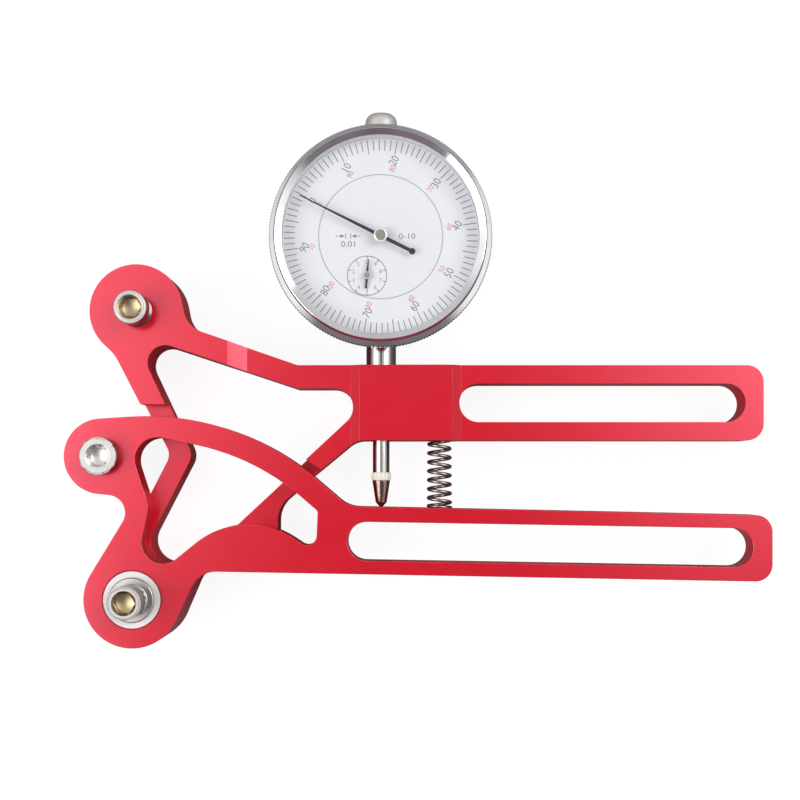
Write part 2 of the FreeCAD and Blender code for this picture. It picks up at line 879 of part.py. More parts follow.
def rack_tooth(y):
    """One tooth of the rack, wider than the spindle it is cut on."""
    tip_x = gauge_x - rack_line - tooth_addendum
    root_x = gauge_x - rack_line + tooth_dedendum
    tip_half = tooth_tip_width / 2
    root_half = root_width(tooth_tip_width) / 2
    points = [
        (root_x, y - root_half),
        (root_x, y + root_half),
        (tip_x, y + tip_half),
        (tip_x, y - tip_half),
    ]
    return prism(polygon(points), stem_z - spindle_r, stem_z + spindle_r)


def make_spindle():
    """Round spindle with a rack cut on its left side."""
    spindle = rod(gauge_x, stem_z, spindle_r, spindle_low_y, spindle_top_y)
    low_tooth = counter_y - rack_teeth_below * rack_pitch
    high_tooth = counter_y + rack_teeth_above * rack_pitch
    teeth = []
    for index in range(rack_teeth_below + rack_teeth_above + 1):
        tooth = rack_tooth(low_tooth + index * rack_pitch)
        teeth.append(tooth.common(spindle))
    root_x = gauge_x - rack_line + tooth_dedendum
    flat_length = high_tooth - low_tooth + 2 * rack_pitch
    flat_corner = Vector(root_x - spindle_r, low_tooth - rack_pitch, stem_z - spindle_r)
    spindle = spindle.cut(Part.makeBox(spindle_r, flat_length, 2 * spindle_r, flat_corner))
    spindle = fused([spindle] + teeth)
    thread_y = spindle_low_y + contact_shank_length
    spindle = spindle.cut(rod(gauge_x, stem_z, contact_shank_r + seat_clearance, spindle_low_y - 1, thread_y))
    pin_hole = disc(gauge_x, guide_pin_y, guide_pin_r + seat_clearance, stem_z - spindle_r - 1, stem_z)
    return spindle.cut(pin_hole)


def make_contact_collar():
    collar = rod(gauge_x, stem_z, collar_r, spindle_low_y - collar_length, spindle_low_y)
    hole = rod(gauge_x, stem_z, contact_shank_r + seat_clearance, 0, spindle_low_y + 1)
    return collar.cut(hole)


def make_contact_point():
    """Tapered steel contact that rests on the lower handle."""
    top_y = spindle_low_y - collar_length
    tip_y = lower_handle_top(gauge_x) + contact_gap
    shoulder_y = tip_y + contact_tip_length
    taper = cone(gauge_x, stem_z, contact_small_r, contact_large_r, shoulder_y, top_y)
    tip = cone(gauge_x, stem_z, contact_tip_r, contact_small_r, tip_y, shoulder_y)
    shank = rod(gauge_x, stem_z, contact_shank_r, top_y, spindle_low_y + contact_shank_length - 0.5)
    return fused([tip, taper, shank])


def make_guide_pin():
    """Cross pin that runs in the guide rail's slot and keeps the spindle from turning."""
    groove_floor_z = case_back_z + cover_thickness + guide_rail_web
    return disc(gauge_x, guide_pin_y, guide_pin_r, groove_floor_z + side_clearance, stem_z - 0.5)


def make_guide_rail():
    """Slotted plate on the back cover, behind the spindle."""
    low_z = case_back_z + cover_thickness
    high_z = cock_back_z
    low_y = guide_pin_y - guide_rail_end
    corner = Vector(gauge_x - guide_rail_width / 2, low_y, low_z)
    plate = Part.makeBox(guide_rail_width, guide_rail_length, high_z - low_z, corner)
    groove_r = guide_pin_r + running_clearance
    groove_y = low_y + guide_rail_end / 2
    groove_corner = Vector(gauge_x - groove_r, groove_y, low_z + guide_rail_web)
    return plate.cut(Part.makeBox(2 * groove_r, guide_rail_length, high_z, groove_corner))


# ---------------------------------------------------------------- bezel and dials

def make_bezel():
    """Turning rim with a raised belt for the fingers, whose front slopes in to a lip over the crystal."""
    inner_r = case_r + running_clearance
    wall_r = case_r + bezel_wall
    belt_r = wall_r + bezel_belt
    seat_r = crystal_r + seat_clearance
    belt_high_z = bezel_belt_z + bezel_belt_height
    return revolved(gauge_x, dial_y, [
        (inner_r, case_front_z - bezel_skirt),
        (wall_r, case_front_z - bezel_skirt),
        (wall_r, bezel_belt_z - bezel_belt / 2),
        (belt_r, bezel_belt_z),
        (belt_r, belt_high_z),
        (wall_r, belt_high_z + bezel_belt / 2),
        (wall_r, bezel_front_z - bezel_bevel),
        (wall_r - bezel_crest_inset, bezel_front_z),
        (case_r - bezel_lip, crystal_front_z + bezel_lip_edge),
        (case_r - bezel_lip, crystal_front_z),
        (seat_r, crystal_front_z),
        (seat_r, crystal_z),
        (inner_r, crystal_z),
    ])


def make_crystal():
    return disc(gauge_x, dial_y, crystal_r, crystal_z, crystal_front_z - seat_clearance)


def make_inner_dial():
    """Fixed dial plate with the turn counter's scale."""
    plate = disc(gauge_x, dial_y, inner_dial_r, case_front_z, case_front_z + dial_thickness)
    hole_r = arbor_r + side_clearance
    for x, y in ((gauge_x, dial_y), (counter_x, counter_y)):
        plate = plate.cut(disc(x, y, hole_r, case_front_z - 1, case_front_z + 2))
    return plate


def make_scale_ring():
    """Outer dial that turns with the bezel."""
    low_z = case_front_z + side_clearance / 2
    high_z = case_front_z + dial_thickness
    return ring(gauge_x, dial_y, case_r, inner_dial_r + dial_split, low_z, high_z)


# ---------------------------------------------------------------- movement

def root_width(tip_width):
    """Width of a straight-sided tooth at its root, so that it has its share of the pitch line."""
    share = tooth_share * rack_pitch
    return share + (share - tip_width) * tooth_dedendum / tooth_addendum


def gear_wire(x, y, teeth, phase, tip_width):
    """Outline of a small-pitch gear with straight-sided teeth; one tooth points to the phase angle."""
    pitch_r = teeth * rack_pitch / (2 * math.pi)
    tip_r = pitch_r + tooth_addendum
    root_r = pitch_r - tooth_dedendum
    tip_half = tip_width / 2 / tip_r
    root_half = root_width(tip_width) / 2 / pitch_r
    points = []
    for index in range(teeth):
        middle = phase + index * 2 * math.pi / teeth
        corners = [(root_r, middle - root_half), (tip_r, middle - tip_half)]
        if tip_width > 0:
            corners += [(tip_r, middle + tip_half), (root_r, middle + root_half)]
        for radius, turn in corners:
            points.append((x + radius * math.cos(turn), y + radius * math.sin(turn)))
    return polygon(points)


def pinion(x, y, teeth, phase, low_z, high_z):
    return prism(gear_wire(x, y, teeth, phase, tooth_tip_width), low_z, high_z)


def spoked_wheel(x, y, teeth, phase, low_z):
    """Wheel with pointed teeth, three spokes and a hub, bored for its arbor."""
    high_z = low_z + wheel_thickness
    rim_r = teeth * rack_pitch / (2 * math.pi) - wheel_rim
    wheel = prism(gear_wire(x, y, teeth, phase, 0), low_z, high_z)
    inside = ring(x, y, rim_r, wheel_hub_r, low_z - 1, high_z + 1)
    for spoke in range(3):
        bar = Part.makeBox(rim_r + 1, wheel_spoke, 4, Vector(0, -wheel_spoke / 2, low_z - 2))
        bar.rotate(Vector(0, 0, 0), ALONG_Z, 30 + 120 * spoke)
        bar.translate(Vector(x, y, 0))
        inside = inside.cut(bar)
    wheel = wheel.cut(inside)
    return wheel.cut(disc(x, y, arbor_r, low_z - 1, high_z + 1))


def make_counter_arbor():
    """Arbor with the rack pinion, from the cock to the small pointer."""
    half_step = math.pi / pinion_teeth
    low_z = stem_z - pinion_length / 2
    high_z = stem_z + pinion_length / 2
    shoulder_z = cock_front_z + running_clearance
    return fused([
        disc(counter_x, counter_y, arbor_r, cock_back_z, small_pointer_z + 2 * pointer_thickness),
        disc(counter_x, counter_y, arbor_shoulder_r, shoulder_z, counter_wheel_z),
        pinion(counter_x, counter_y, pinion_teeth, half_step, low_z, high_z),
    ])


def make_counter_wheel():
    phase = counter_heading + math.pi
    return spoked_wheel(counter_x, counter_y, wheel_teeth, phase, counter_wheel_z)


def make_centre_arbor():
    """Arbor with the centre pinion, which the counter wheel drives."""
    phase = counter_heading + math.pi / centre_teeth
    low_z = bridge_front_z + running_clearance
    high_z = case_floor_z - running_clearance
    return fused([
        disc(gauge_x, dial_y, arbor_r, bridge_back_z + running_clearance, main_arbor_top()),
        pinion(gauge_x, dial_y, centre_teeth, phase, low_z, high_z),
    ])


def hexagon_pillars(places, low_z, high_z):
    return Part.makeCompound([hexagon(x, y, pillar_flats, low_z, high_z) for x, y in places])


def make_movement_bridge():
    """Brass plate in front of the spindle that holds the back pivot of the centre arbor."""
    low_z = bridge_back_z
    high_z = bridge_front_z
    plate = disc(gauge_x, dial_y, bridge_r, low_z, high_z)
    plate = plate.cut(disc(gauge_x, dial_y, arbor_r + running_clearance, low_z - 1, high_z + 1))
    return plate.cut(disc(counter_x, counter_y, arbor_shoulder_r + side_clearance, low_z - 1, high_z + 1))


def make_bridge_pillars():
    """Three pillars that hang the movement bridge from the case's floor."""
    places = [polar((gauge_x, dial_y), pillar_circle_r, degrees) for degrees in pillar_angles]
    return hexagon_pillars(places, bridge_front_z, case_floor_z)


def make_cock():
    """Small plate behind the rack pinion that holds its arbor's back pivot."""
    width = cock_pillar_offset + 2 * cock_half_width
    left_x = counter_x - cock_pillar_offset - cock_half_width
    corner = Vector(left_x, counter_y - cock_half_length, cock_back_z)
    plate = Part.makeBox(width, 2 * cock_half_length, cock_thickness, corner)
    hole_r = arbor_r + running_clearance
    return plate.cut(disc(counter_x, counter_y, hole_r, cock_back_z - 1, cock_front_z + 1))


def make_cock_pillars():
    """Two pillars that hang the cock from the bridge."""
    reach = cock_half_length - pillar_flats / 2 - side_clearance
    places = [(counter_x - cock_pillar_offset, counter_y + side * reach) for side in (-1, 1)]
    return hexagon_pillars(places, cock_front_z, bridge_back_z)


# ---------------------------------------------------------------- pointers

def pointer_blade(length, tail, root_width, tail_width, bulb_r, eye_r):
    """A tapered blade towards +Y with an eye round its arbor and a bulb on its tail."""
    tip = pointer_tip_width / 2
    points = [
        (-tail_width / 2, -tail),
        (tail_width / 2, -tail),
        (root_width / 2, 0),
        (tip, length),
        (-tip, length),
        (-root_width / 2, 0),
    ]
    blade = prism(polygon(points), 0, pointer_thickness)
    eye = disc(0, 0, eye_r, 0, pointer_thickness)
    bulb = disc(0, -tail, bulb_r, 0, pointer_thickness)
    return fused([blade, eye, bulb])


def placed_on_arbor(pointer, x, y, low_z, turn):
    """A pointer turned about its arbor and bored for it."""
    pointer.rotate(Vector(0, 0, 0), ALONG_Z, turn)
    pointer.translate(Vector(x, y, low_z))
    return pointer.cut(disc(x, y, arbor_r, low_z - 1, low_z + pointer_thickness + 1))


def make_main_pointer():
    blade = pointer_blade(
        main_pointer_length, main_pointer_tail, main_pointer_root_width, main_pointer_tail_width,
        main_pointer_bulb_r, pointer_eye_r,
    )
    return placed_on_arbor(blade, gauge_x, dial_y, main_pointer_z, main_pointer_degrees)


def make_pointer_hub():
    """Turned button that presses the main pointer on its arbor."""
    bore_z = main_arbor_top() + running_clearance
    return revolved(gauge_x, dial_y, [
        (0, bore_z),
        (arbor_r, bore_z),
        (arbor_r, hub_low_z),
        (pointer_hub_r, hub_low_z),
        (pointer_hub_r, hub_high_z - pointer_thickness),
        (pointer_hub_r - pointer_thickness, hub_high_z),
        (0, hub_high_z),
    ])


def main_arbor_top():
    return (hub_low_z + hub_high_z) / 2


def make_small_pointer():
    blade = pointer_blade(
        small_pointer_length, small_pointer_tail, small_pointer_root_width, small_pointer_tail_width,
        small_pointer_bulb_r, small_pointer_eye_r,
    )
    return placed_on_arbor(blade, counter_x, counter_y, small_pointer_z, small_pointer_degrees)


# ---------------------------------------------------------------- all nodes

NODES = {
    "upper_frame": make_upper_frame,
    "lower_frame": make_lower_frame,
    "pivot_post": make_pivot_post,
    "pivot_bush": make_pivot_bush,
    "pivot_disc": make_pivot_disc,
    "thrust_washer": make_thrust_washer,
    "top_post": make_top_post,
    "middle_post": make_middle_post,
    "main_spring": make_main_spring,
    "stem_clamp_screw": make_clamp_screw,
    "gauge_case": make_gauge_case,
    "back_cover": make_back_cover,
    "gauge_stem": make_gauge_stem,
    "stem_cap": make_stem_cap,
    "spindle": make_spindle,
    "contact_collar": make_contact_collar,
    "contact_point": make_contact_point,
    "guide_pin": make_guide_pin,
    "guide_rail": make_guide_rail,
    "bezel": make_bezel,
    "crystal": make_crystal,
    "inner_dial": make_inner_dial,
    "scale_ring": make_scale_ring,
    "counter_arbor": make_counter_arbor,
    "counter_wheel": make_counter_wheel,
    "centre_arbor": make_centre_arbor,
    "movement_bridge": make_movement_bridge,
    "bridge_pillars": make_bridge_pillars,
    "movement_cock": make_cock,
    "cock_pillars": make_cock_pillars,
    "main_pointer": make_main_pointer,
    "pointer_hub": make_pointer_hub,
    "small_pointer": make_small_pointer,
}

os.makedirs("parts", exist_ok=True)
for node, make in NODES.items():
    write(node, make())
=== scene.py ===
"""Finish and studio for a spoke tension meter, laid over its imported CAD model."""
import math

import bmesh
import bpy
from mathutils import Matrix, Vector


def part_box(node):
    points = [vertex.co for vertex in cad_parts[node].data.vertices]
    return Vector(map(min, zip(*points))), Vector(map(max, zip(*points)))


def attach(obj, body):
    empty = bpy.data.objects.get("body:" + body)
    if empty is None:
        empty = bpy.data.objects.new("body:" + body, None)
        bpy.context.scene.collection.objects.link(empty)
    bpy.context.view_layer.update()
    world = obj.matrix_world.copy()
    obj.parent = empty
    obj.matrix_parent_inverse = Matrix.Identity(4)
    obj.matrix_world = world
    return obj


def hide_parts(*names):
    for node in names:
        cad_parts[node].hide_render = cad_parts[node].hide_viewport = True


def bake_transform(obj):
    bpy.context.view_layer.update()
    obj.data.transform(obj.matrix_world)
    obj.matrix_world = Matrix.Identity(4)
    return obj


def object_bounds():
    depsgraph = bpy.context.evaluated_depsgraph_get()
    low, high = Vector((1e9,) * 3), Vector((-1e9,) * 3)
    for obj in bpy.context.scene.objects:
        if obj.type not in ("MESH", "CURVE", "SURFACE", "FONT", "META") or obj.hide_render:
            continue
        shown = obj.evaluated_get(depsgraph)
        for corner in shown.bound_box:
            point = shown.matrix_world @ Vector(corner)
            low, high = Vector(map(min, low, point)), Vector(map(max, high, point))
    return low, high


bl_info = {
    "name": "Spoke Tension Meter Finish",
    "version": (1, 0, 0),
    "blender": (4, 5, 0),
    "location": "3D View > Sidebar > Tension Meter",
    "description": "Gives a packed spoke tension meter its finishes, dial, knurls, spring and studio",
    "category": "Object",
}

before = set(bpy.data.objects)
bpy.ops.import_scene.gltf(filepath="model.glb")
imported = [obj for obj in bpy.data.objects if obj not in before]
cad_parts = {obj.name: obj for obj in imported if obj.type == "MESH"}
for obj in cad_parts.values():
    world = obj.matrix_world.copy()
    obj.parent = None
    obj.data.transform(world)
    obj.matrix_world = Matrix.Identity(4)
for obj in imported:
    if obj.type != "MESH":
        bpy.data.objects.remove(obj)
cad_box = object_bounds()

MM = 0.001

# Surfaces that would lie in one another are kept apart by a hair, or by a small gap.
HAIR = 0.02 * MM
SMALL_GAP = 0.05 * MM

# Corners nearer than this are welded, in CAD meshes and in turned ones.
WELD = 2e-7
TURNED_WELD = 1e-8

# Faces that bend less than the first are made one; edges that bend more than the others count as sharp.
FLAT_BEND = math.radians(0.6)
TURNED_BEND = math.radians(24)
SHARP_BEND = math.radians(32)

# A face of this area, whose normal has this much Z, keeps that normal over all of it.
LARGE_FACE = 20 * MM * MM
LEVEL_FACE = 0.5

# Radius of a socket's mouth, and how far below a post's top the socket's and the rim's colours reach.
SOCKET_MOUTH = 3.25 * MM
SOCKET_REACH = 4.8 * MM
POST_RIM = 0.5 * MM

# 1 for each axis that rings about Y, or about Z, spread along.
ROUND_Y = (1.0, 0.0, 1.0)
ROUND_Z = (1.0, 1.0, 0.0)

WHITE = (1.0, 1.0, 1.0)
SQUARE = ((-1, -1), (1, -1), (1, 1), (-1, 1))

# Straight steps of the bezel's rounded shoulder.
SHOULDER_STEPS = 6

# More copies than any ring has, so that none is left out.
NEVER = 100000


def length(millimetres, words):
    return bpy.props.FloatProperty(description=words, default=millimetres * MM, unit="LENGTH", precision=5)


def turn(degrees, words):
    return bpy.props.FloatProperty(description=words, default=math.radians(degrees), unit="ROTATION")


def count(number, words):
    return bpy.props.IntProperty(description=words, default=number, min=1)


def amount(number, words):
    return bpy.props.FloatProperty(description=words, default=number)


def colour(red, green, blue, words):
    return bpy.props.FloatVectorProperty(
        description=words, default=(red, green, blue), size=3, subtype="COLOR", min=0, max=1
    )


# ---------------------------------------------------------------- sizes, colours and studio


class MeterSizes(bpy.types.PropertyGroup):
    """Sizes of the finishing details."""

    frame_edge: length(0.22, "Width of the broken edges of the two anodised frames")
    post_edge: length(0.16, "Width of the broken edges of the posts and turned parts")
    fine_edge: length(0.08, "Width of the broken edges of the small parts")
    glass_edge: length(0.22, "Width of the crystal's rounded edge")
    paint_edge: length(0.05, "Width of the broken edges of the pointers")
    spindle_edge: length(0.04, "Width of the broken edges of the spindle and its rack")
    tip_edge: length(0.06, "Width of the broken edges of the contact point")
    # Width of the chamfer round the pointer's hub, which has a painted highlight
    hub_chamfer: length(0.30, "Width of the bright chamfer round the pointer's hub")
    hub_face: length(1.46, "Radius of the champagne face of the main pointer's hub")

    socket_depth: length(3.4, "Depth of the hexagon sockets in the posts")
    socket_bore: length(2.5, "Radius of the circle inside a socket's hexagon")
    socket_lead: length(0.55, "Depth of the round lead-in at a socket's mouth")
    drill_radius: length(2.4, "Radius of the drilled cone below a socket's floor")
    drill_tip: length(0.95, "Depth of the drilled cone below a socket's floor")

    rim_crest: length(27.5, "Radius of the highest line of the bezel's rim")
    rim_mouth: length(25.92, "Radius where the bezel's inner slope meets the crystal")
    rim_wall: length(28.0, "Radius of the bezel's plain wall")
    rim_lip: length(0.12, "Height of the bezel's lip over the crystal")
    rim_shoulder: length(1.5, "Depth of the rounded shoulder in front of the wall")
    belt_ledge: length(0.72, "Rise of the slope from the belt to the bezel's wall")
    belt_drop: length(3.7, "From the bezel's front to its knurled belt")
    belt_height: length(2.6, "Width of the knurled belt")
    knurl_depth: length(0.26, "Depth of the belt's knurl")
    knurl_count: count(216, "Ridges round the belt")
    knurl_share: amount(0.92, "Share of the belt's round that the ridges take up")

    collar_edge: length(0.2, "Width of the chamfers at the collar's ends")
    collar_bore: length(1.3, "Radius of the collar's bore")
    collar_knurl_depth: length(0.22, "Depth of the collar's ribs")
    collar_knurl_count: count(18, "Ribs round the collar")
    collar_knurl_share: amount(0.62, "Share of the collar's round that the ribs' feet take up")
    collar_knurl_taper: amount(0.45, "Width of a rib's crest over the width of its foot")

    coil_turns: amount(9.2, "Turns of the main spring")
    coil_closed_turns: amount(1.0, "Turns that lie closed at each end of the spring")
    coil_wire: length(0.94, "Diameter of the spring's wire")
    coil_taper: length(0.18, "How much narrower the spring's radius is at its high end")
    coil_start: turn(200, "Where round the spring its wire starts")

    screw_circle: length(21.5, "Radius at which the back cover's screws sit")
    screw_radius: length(1.25, "Radius of a back cover screw's head")
    screw_height: length(0.4, "How far a back cover screw's head stands out")
    screw_edge: length(0.12, "Width of the chamfer round a screw's head")


class DialSizes(bpy.types.PropertyGroup):
    """Sizes of the printing on the dial, and of the turn counter's hub."""

    ink: length(0.015, "Thickness of the printed ink")
    zero: turn(62.1, "How far the outer scale's zero is turned anticlockwise from the top")
    tick_outer: length(25.6, "Radius of the ticks' outer ends")
    tick_inner: length(22.75, "Radius of the short ticks' inner ends")
    long_tick_inner: length(22.0, "Radius of the long ticks' inner ends")
    tick_width: length(0.23, "Width of a tick")
    number_circle: length(20.4, "Radius at which the numbers stand")
    number_height: length(2.1, "Height of the numbers")
    return_circle: length(18.3, "Radius at which the small reverse numbers stand")
    return_height: length(1.5, "Height of the small reverse numbers")
    seam_circle: length(16.4, "Radius of the line round the fixed inner dial")
    seam_width: length(0.28, "Width of that line")
    seam_depth: length(0.2, "How far that line reaches down between the two dials")
    counter_circle: length(5.2, "Radius of the turn counter's ring")
    counter_line: length(0.21, "Width of the turn counter's lines")
    counter_tick: length(0.75, "Length of the turn counter's ticks")
    counter_numbers: length(3.75, "Radius at which the counter's numbers stand")
    counter_height: length(1.1, "Height of the counter's numbers")
    counter_hub: length(1.0, "Radius of the turn counter's hub")
    counter_hub_edge: length(0.15, "Width of the chamfer round the turn counter's hub")
    counter_hub_face: length(0.8, "Radius of the champagne face of the turn counter's hub")
    legend_height: length(1.5, "Height of the plain numbers beside the hub")
    legend_left: length(8.6, "From the hub to the middle of the step mark on its left")
    legend_right: length(7.0, "From the hub to the middle of the range on its right")
    legend_rise: length(0.15, "Height of the two over the hub")
    legend_drop: length(2.1, "From the step mark down to the size of the step")
    step_line: length(0.19, "Width of the step mark's lines")
    step_bar: length(0.75, "Half the height of the step mark's bars")
    step_gap: length(0.66, "From the middle of the step mark to a bar")
    arrow_gap: length(0.25, "From a bar to the tip of its arrow")
    arrow_head: length(1.15, "Length of an arrow's head")
    arrow_spread: length(0.50, "Half the width of an arrow's head")
    arrow_tail: length(2.4, "Length of an arrow")


class MeterColours(bpy.types.PropertyGroup):
    """Colours of the finishes."""

    anodised: colour(0.95, 0.010, 0.028, "Red of the anodised frames")
    # Painted highlight, red where the frames' edges catch light
    anodised_edge: colour(0.86, 0.12, 0.14, "Red where the frames' edges catch light")
    steel: colour(0.44, 0.425, 0.41, "Polished steel of the stem and spindle")
    post: colour(0.56, 0.55, 0.53, "Turned tops of the spoke posts and the pivot post")
    # Painted shade, faintly reddish, on the posts' polished walls and below their satin tops
    post_wall: colour(0.20, 0.165, 0.155, "Darker polished walls of the posts")
    warm_steel: colour(0.48, 0.385, 0.24, "Oiled, golden steel down in two of the sockets")
    grey_steel: colour(0.74, 0.71, 0.69, "Grey steel down in the middle post's socket")
    chrome: colour(0.72, 0.72, 0.74, "Chrome of the bezel")
    cap: colour(0.70, 0.67, 0.65, "Satin, faintly warm steel of the stem's cap")
    satin: colour(0.50, 0.50, 0.51, "Satin steel of the gauge's case")
    spring: colour(0.36, 0.33, 0.31, "Dark steel of the spring")
    tip: colour(0.30, 0.22, 0.18, "Tempered steel of the contact point")
    black: colour(0.02, 0.02, 0.022, "Blackened screws")
    pointer: colour(0.012, 0.007, 0.012, "Black paint of the pointers")
    champagne: colour(0.27, 0.245, 0.205, "Turned face of a pointer's hub")
    # Painted highlight on the chamfers round the hubs and the posts' tops
    chamfer: colour(0.88, 0.86, 0.82, "Bright chamfers round the hubs and the posts' tops")
    rim_paint: colour(0.80, 0.80, 0.86, "Pale paint on the bezel's wall under the crystal")
    brass: colour(0.58, 0.42, 0.20, "Brass and bronze of the movement and the bush")
    nylon: colour(0.93, 0.88, 0.88, "Pale washer and disc at the pivot")
    ivory: colour(0.92, 0.88, 0.80, "Ribbed collar above the contact point")
    enamel: colour(0.845, 0.84, 0.88, "White of the dial")
    ink_grey: colour(0.19, 0.19, 0.20, "Ticks and numbers")
    ink_pale: colour(0.44, 0.45, 0.47, "Line round the fixed inner dial")
    ink_red: colour(0.66, 0.20, 0.25, "Small reverse numbers")
    glass: colour(0.97, 0.98, 0.98, "Crystal over the dial")
    paper: colour(0.19, 0.19, 0.19, "Darker flecks of the floor")
    paper_light: colour(0.20, 0.20, 0.20, "Lighter flecks of the floor")
    brownish: colour(1.0, 0.81, 0.93, "Tint of the near side that shining parts mirror")


class MeterStudio(bpy.types.PropertyGroup):
    """Camera, lamps and floor."""

    camera_x: length(72.58, "Place of the camera along the handles")
    camera_y: length(31.90, "Place of the camera across the handles")
    camera_z: length(445.5, "Height of the camera above the back of the tool")
    lens: amount(1.989, "Focal length over the sensor's width")
    shift_x: amount(-0.006, "Camera shift to the side")
    shift_y: amount(0.100, "Camera shift upwards")
    lamp_power: amount(2.2, "Watts of a soft lamp at full level")
    lamp_size: length(420, "Width of a soft lamp")
    left_level: amount(0.92, "Level of the left lamp")
    right_level: amount(0.88, "Level of the right lamp")
    sky: amount(0.48, "Level of the light from all round overhead")
    floor_size: length(3000, "Width of the floor")
    floor_glow: amount(0.89, "Light of the floor itself, to the camera")


# ---------------------------------------------------------------- node helpers

SOCKET_TYPES = {
    float: "NodeSocketFloat",
    int: "NodeSocketInt",
    bool: "NodeSocketBool",
    tuple: "NodeSocketVector",
}


def sum_method(operation, swapped=False):
    """A method that makes a sum a math node; it is swapped where the Value stands after the sign."""

    def method(self, other):
        return math_node(operation, other, self) if swapped else math_node(operation, self, other)

    return method


class Value:
    """What flows through a node tree. Sums with it become math nodes.

    With two numbers, & is the lower one and | the higher one; < and > are 1 where true and 0 elsewhere.
    """

    def __init__(self, tree, socket):
        self.tree = tree
        self.socket = socket

    __add__ = sum_method("ADD")
    __sub__ = sum_method("SUBTRACT")
    __rsub__ = sum_method("SUBTRACT", swapped=True)
    __mul__ = sum_method("MULTIPLY")
    __truediv__ = sum_method("DIVIDE")
    __rtruediv__ = sum_method("DIVIDE", swapped=True)
    __lt__ = sum_method("LESS_THAN")
    __gt__ = sum_method("GREATER_THAN")
    __and__ = sum_method("MINIMUM")
    __or__ = sum_method("MAXIMUM")

    def __abs__(self):
        return math_node("ABSOLUTE", self)

    def ramp(self, start, end, low=0.0, high=1.0, **settings):
        """A number that goes from low to high while this one goes from start to end."""
        inputs = {"Value": self, "From Min": start, "From Max": end, "To Min": low, "To Max": high}
        return value_of(self.tree, "ShaderNodeMapRange", inputs, **settings)

    def between(self, low, high):
        """A number that goes from low to high while this one goes from 0 to 1."""
        return self.ramp(0.0, 1.0, low, high)

    def colour(self, first, second):
        """A colour that goes from the first to the second while this number goes from 0 to 1."""
        ends = [end if isinstance(end, Value) else (*end, 1.0) for end in (first, second)]
        inputs = {"Factor": self, 6: ends[0], 7: ends[1]}
        return value_of(self.tree, "ShaderNodeMix", inputs, 2, data_type="RGBA")

    def parts(self):
        """The X, Y and Z of this vector."""
        node = add_node(self.tree, "ShaderNodeSeparateXYZ", {0: self})
        return [Value(self.tree, socket) for socket in node.outputs]


def give(socket, value):
    """Links an input socket from a Value, or sets it to a plain value."""
    if isinstance(value, Value):
        value.tree.links.new(value.socket, socket)
    else:
        socket.default_value = value


def add_node(tree, kind, inputs=None, **settings):
    """A node with its settings made and its inputs given."""
    node = tree.nodes.new(kind)
    for name, value in settings.items():
        setattr(node, name, value)
    for name, value in (inputs or {}).items():
        give(node.inputs[name], value)
    return node


def value_of(tree, kind, inputs=None, output=0, **settings):
    """What flows out of a new node."""
    return Value(tree, add_node(tree, kind, inputs, **settings).outputs[output])


def math_node(operation, first, second=0.0):
    """The outcome of a math node on two numbers, of which one at least flows through a tree."""
    tree = first.tree if isinstance(first, Value) else second.tree
    return value_of(tree, "ShaderNodeMath", {0: first, 1: second}, operation=operation)


def object_position(tree):
    return value_of(tree, "ShaderNodeTexCoord", output="Object")


def ray(tree, kind):
    """1 for the light path's rays of one kind, and 0 for the others."""
    return value_of(tree, "ShaderNodeLightPath", output=f"Is {kind} Ray")


def labelled(given):
    """Values under the labels that their plain names spell."""
    return {name.replace("_", " ").title(): value for name, value in given.items()}


def new_tree(name, kind, inputs, outputs, output_type):
    """An empty node group; each input is given by its default, or by its type where it has none."""
    tree = bpy.data.node_groups.new(name, kind)
    for label, value in inputs.items():
        if isinstance(value, str):
            tree.interface.new_socket(label, in_out="INPUT", socket_type=value)
        else:
            socket = tree.interface.new_socket(label, in_out="INPUT", socket_type=SOCKET_TYPES[type(value)])
            socket.default_value = value
    for label in outputs:
        tree.interface.new_socket(label, in_out="OUTPUT", socket_type=output_type)
    given = {socket.name: Value(tree, socket) for socket in tree.nodes.new("NodeGroupInput").outputs}
    return tree, given, tree.nodes.new("NodeGroupOutput").inputs


def new_effect(name, inputs, outputs):
    """An empty shader node group, whose outputs are numbers."""
    return new_tree(name, "ShaderNodeTree", inputs, outputs, "NodeSocketFloat")


def new_geometry_tree(name, inputs):
    """An empty geometry tree, which makes a new mesh of the one that it is given."""
    inputs = {"Geometry": "NodeSocketGeometry", **inputs}
    return new_tree(name, "GeometryNodeTree", inputs, ["Geometry"], "NodeSocketGeometry")


# ---------------------------------------------------------------- effects that several finishes share


def make_grain_effect():
    """Fine blasted grain and broad mottling."""
    inputs = {"Grain Scale": 9000.0, "Mottle Scale": 60.0}
    tree, given, outputs = new_effect("fine_grain", inputs, ["Grain", "Mottle"])
    place = object_position(tree)
    for label in ("Grain", "Mottle"):
        inputs = {"Vector": place, "Scale": given[label + " Scale"], "Detail": 3.0, "Roughness": 0.6}
        give(outputs[label], value_of(tree, "ShaderNodeTexNoise", inputs, "Fac"))


def make_wear_effect():
    """A patchy mask of the broken edges: rubbed by handling on satin metal, painted as a highlight on the
    anodised frames.
    """
    tree, given, outputs = new_effect("edge_wear", {"Scale": 900.0}, ["Wear"])
    band = value_of(tree, "ShaderNodeAttribute", output="Fac", attribute_name="edge_band")
    inputs = {"Vector": object_position(tree), "Scale": given["Scale"]}
    noise = value_of(tree, "ShaderNodeTexNoise", inputs, "Fac")
    give(outputs["Wear"], band * noise.ramp(0.40, 0.62))


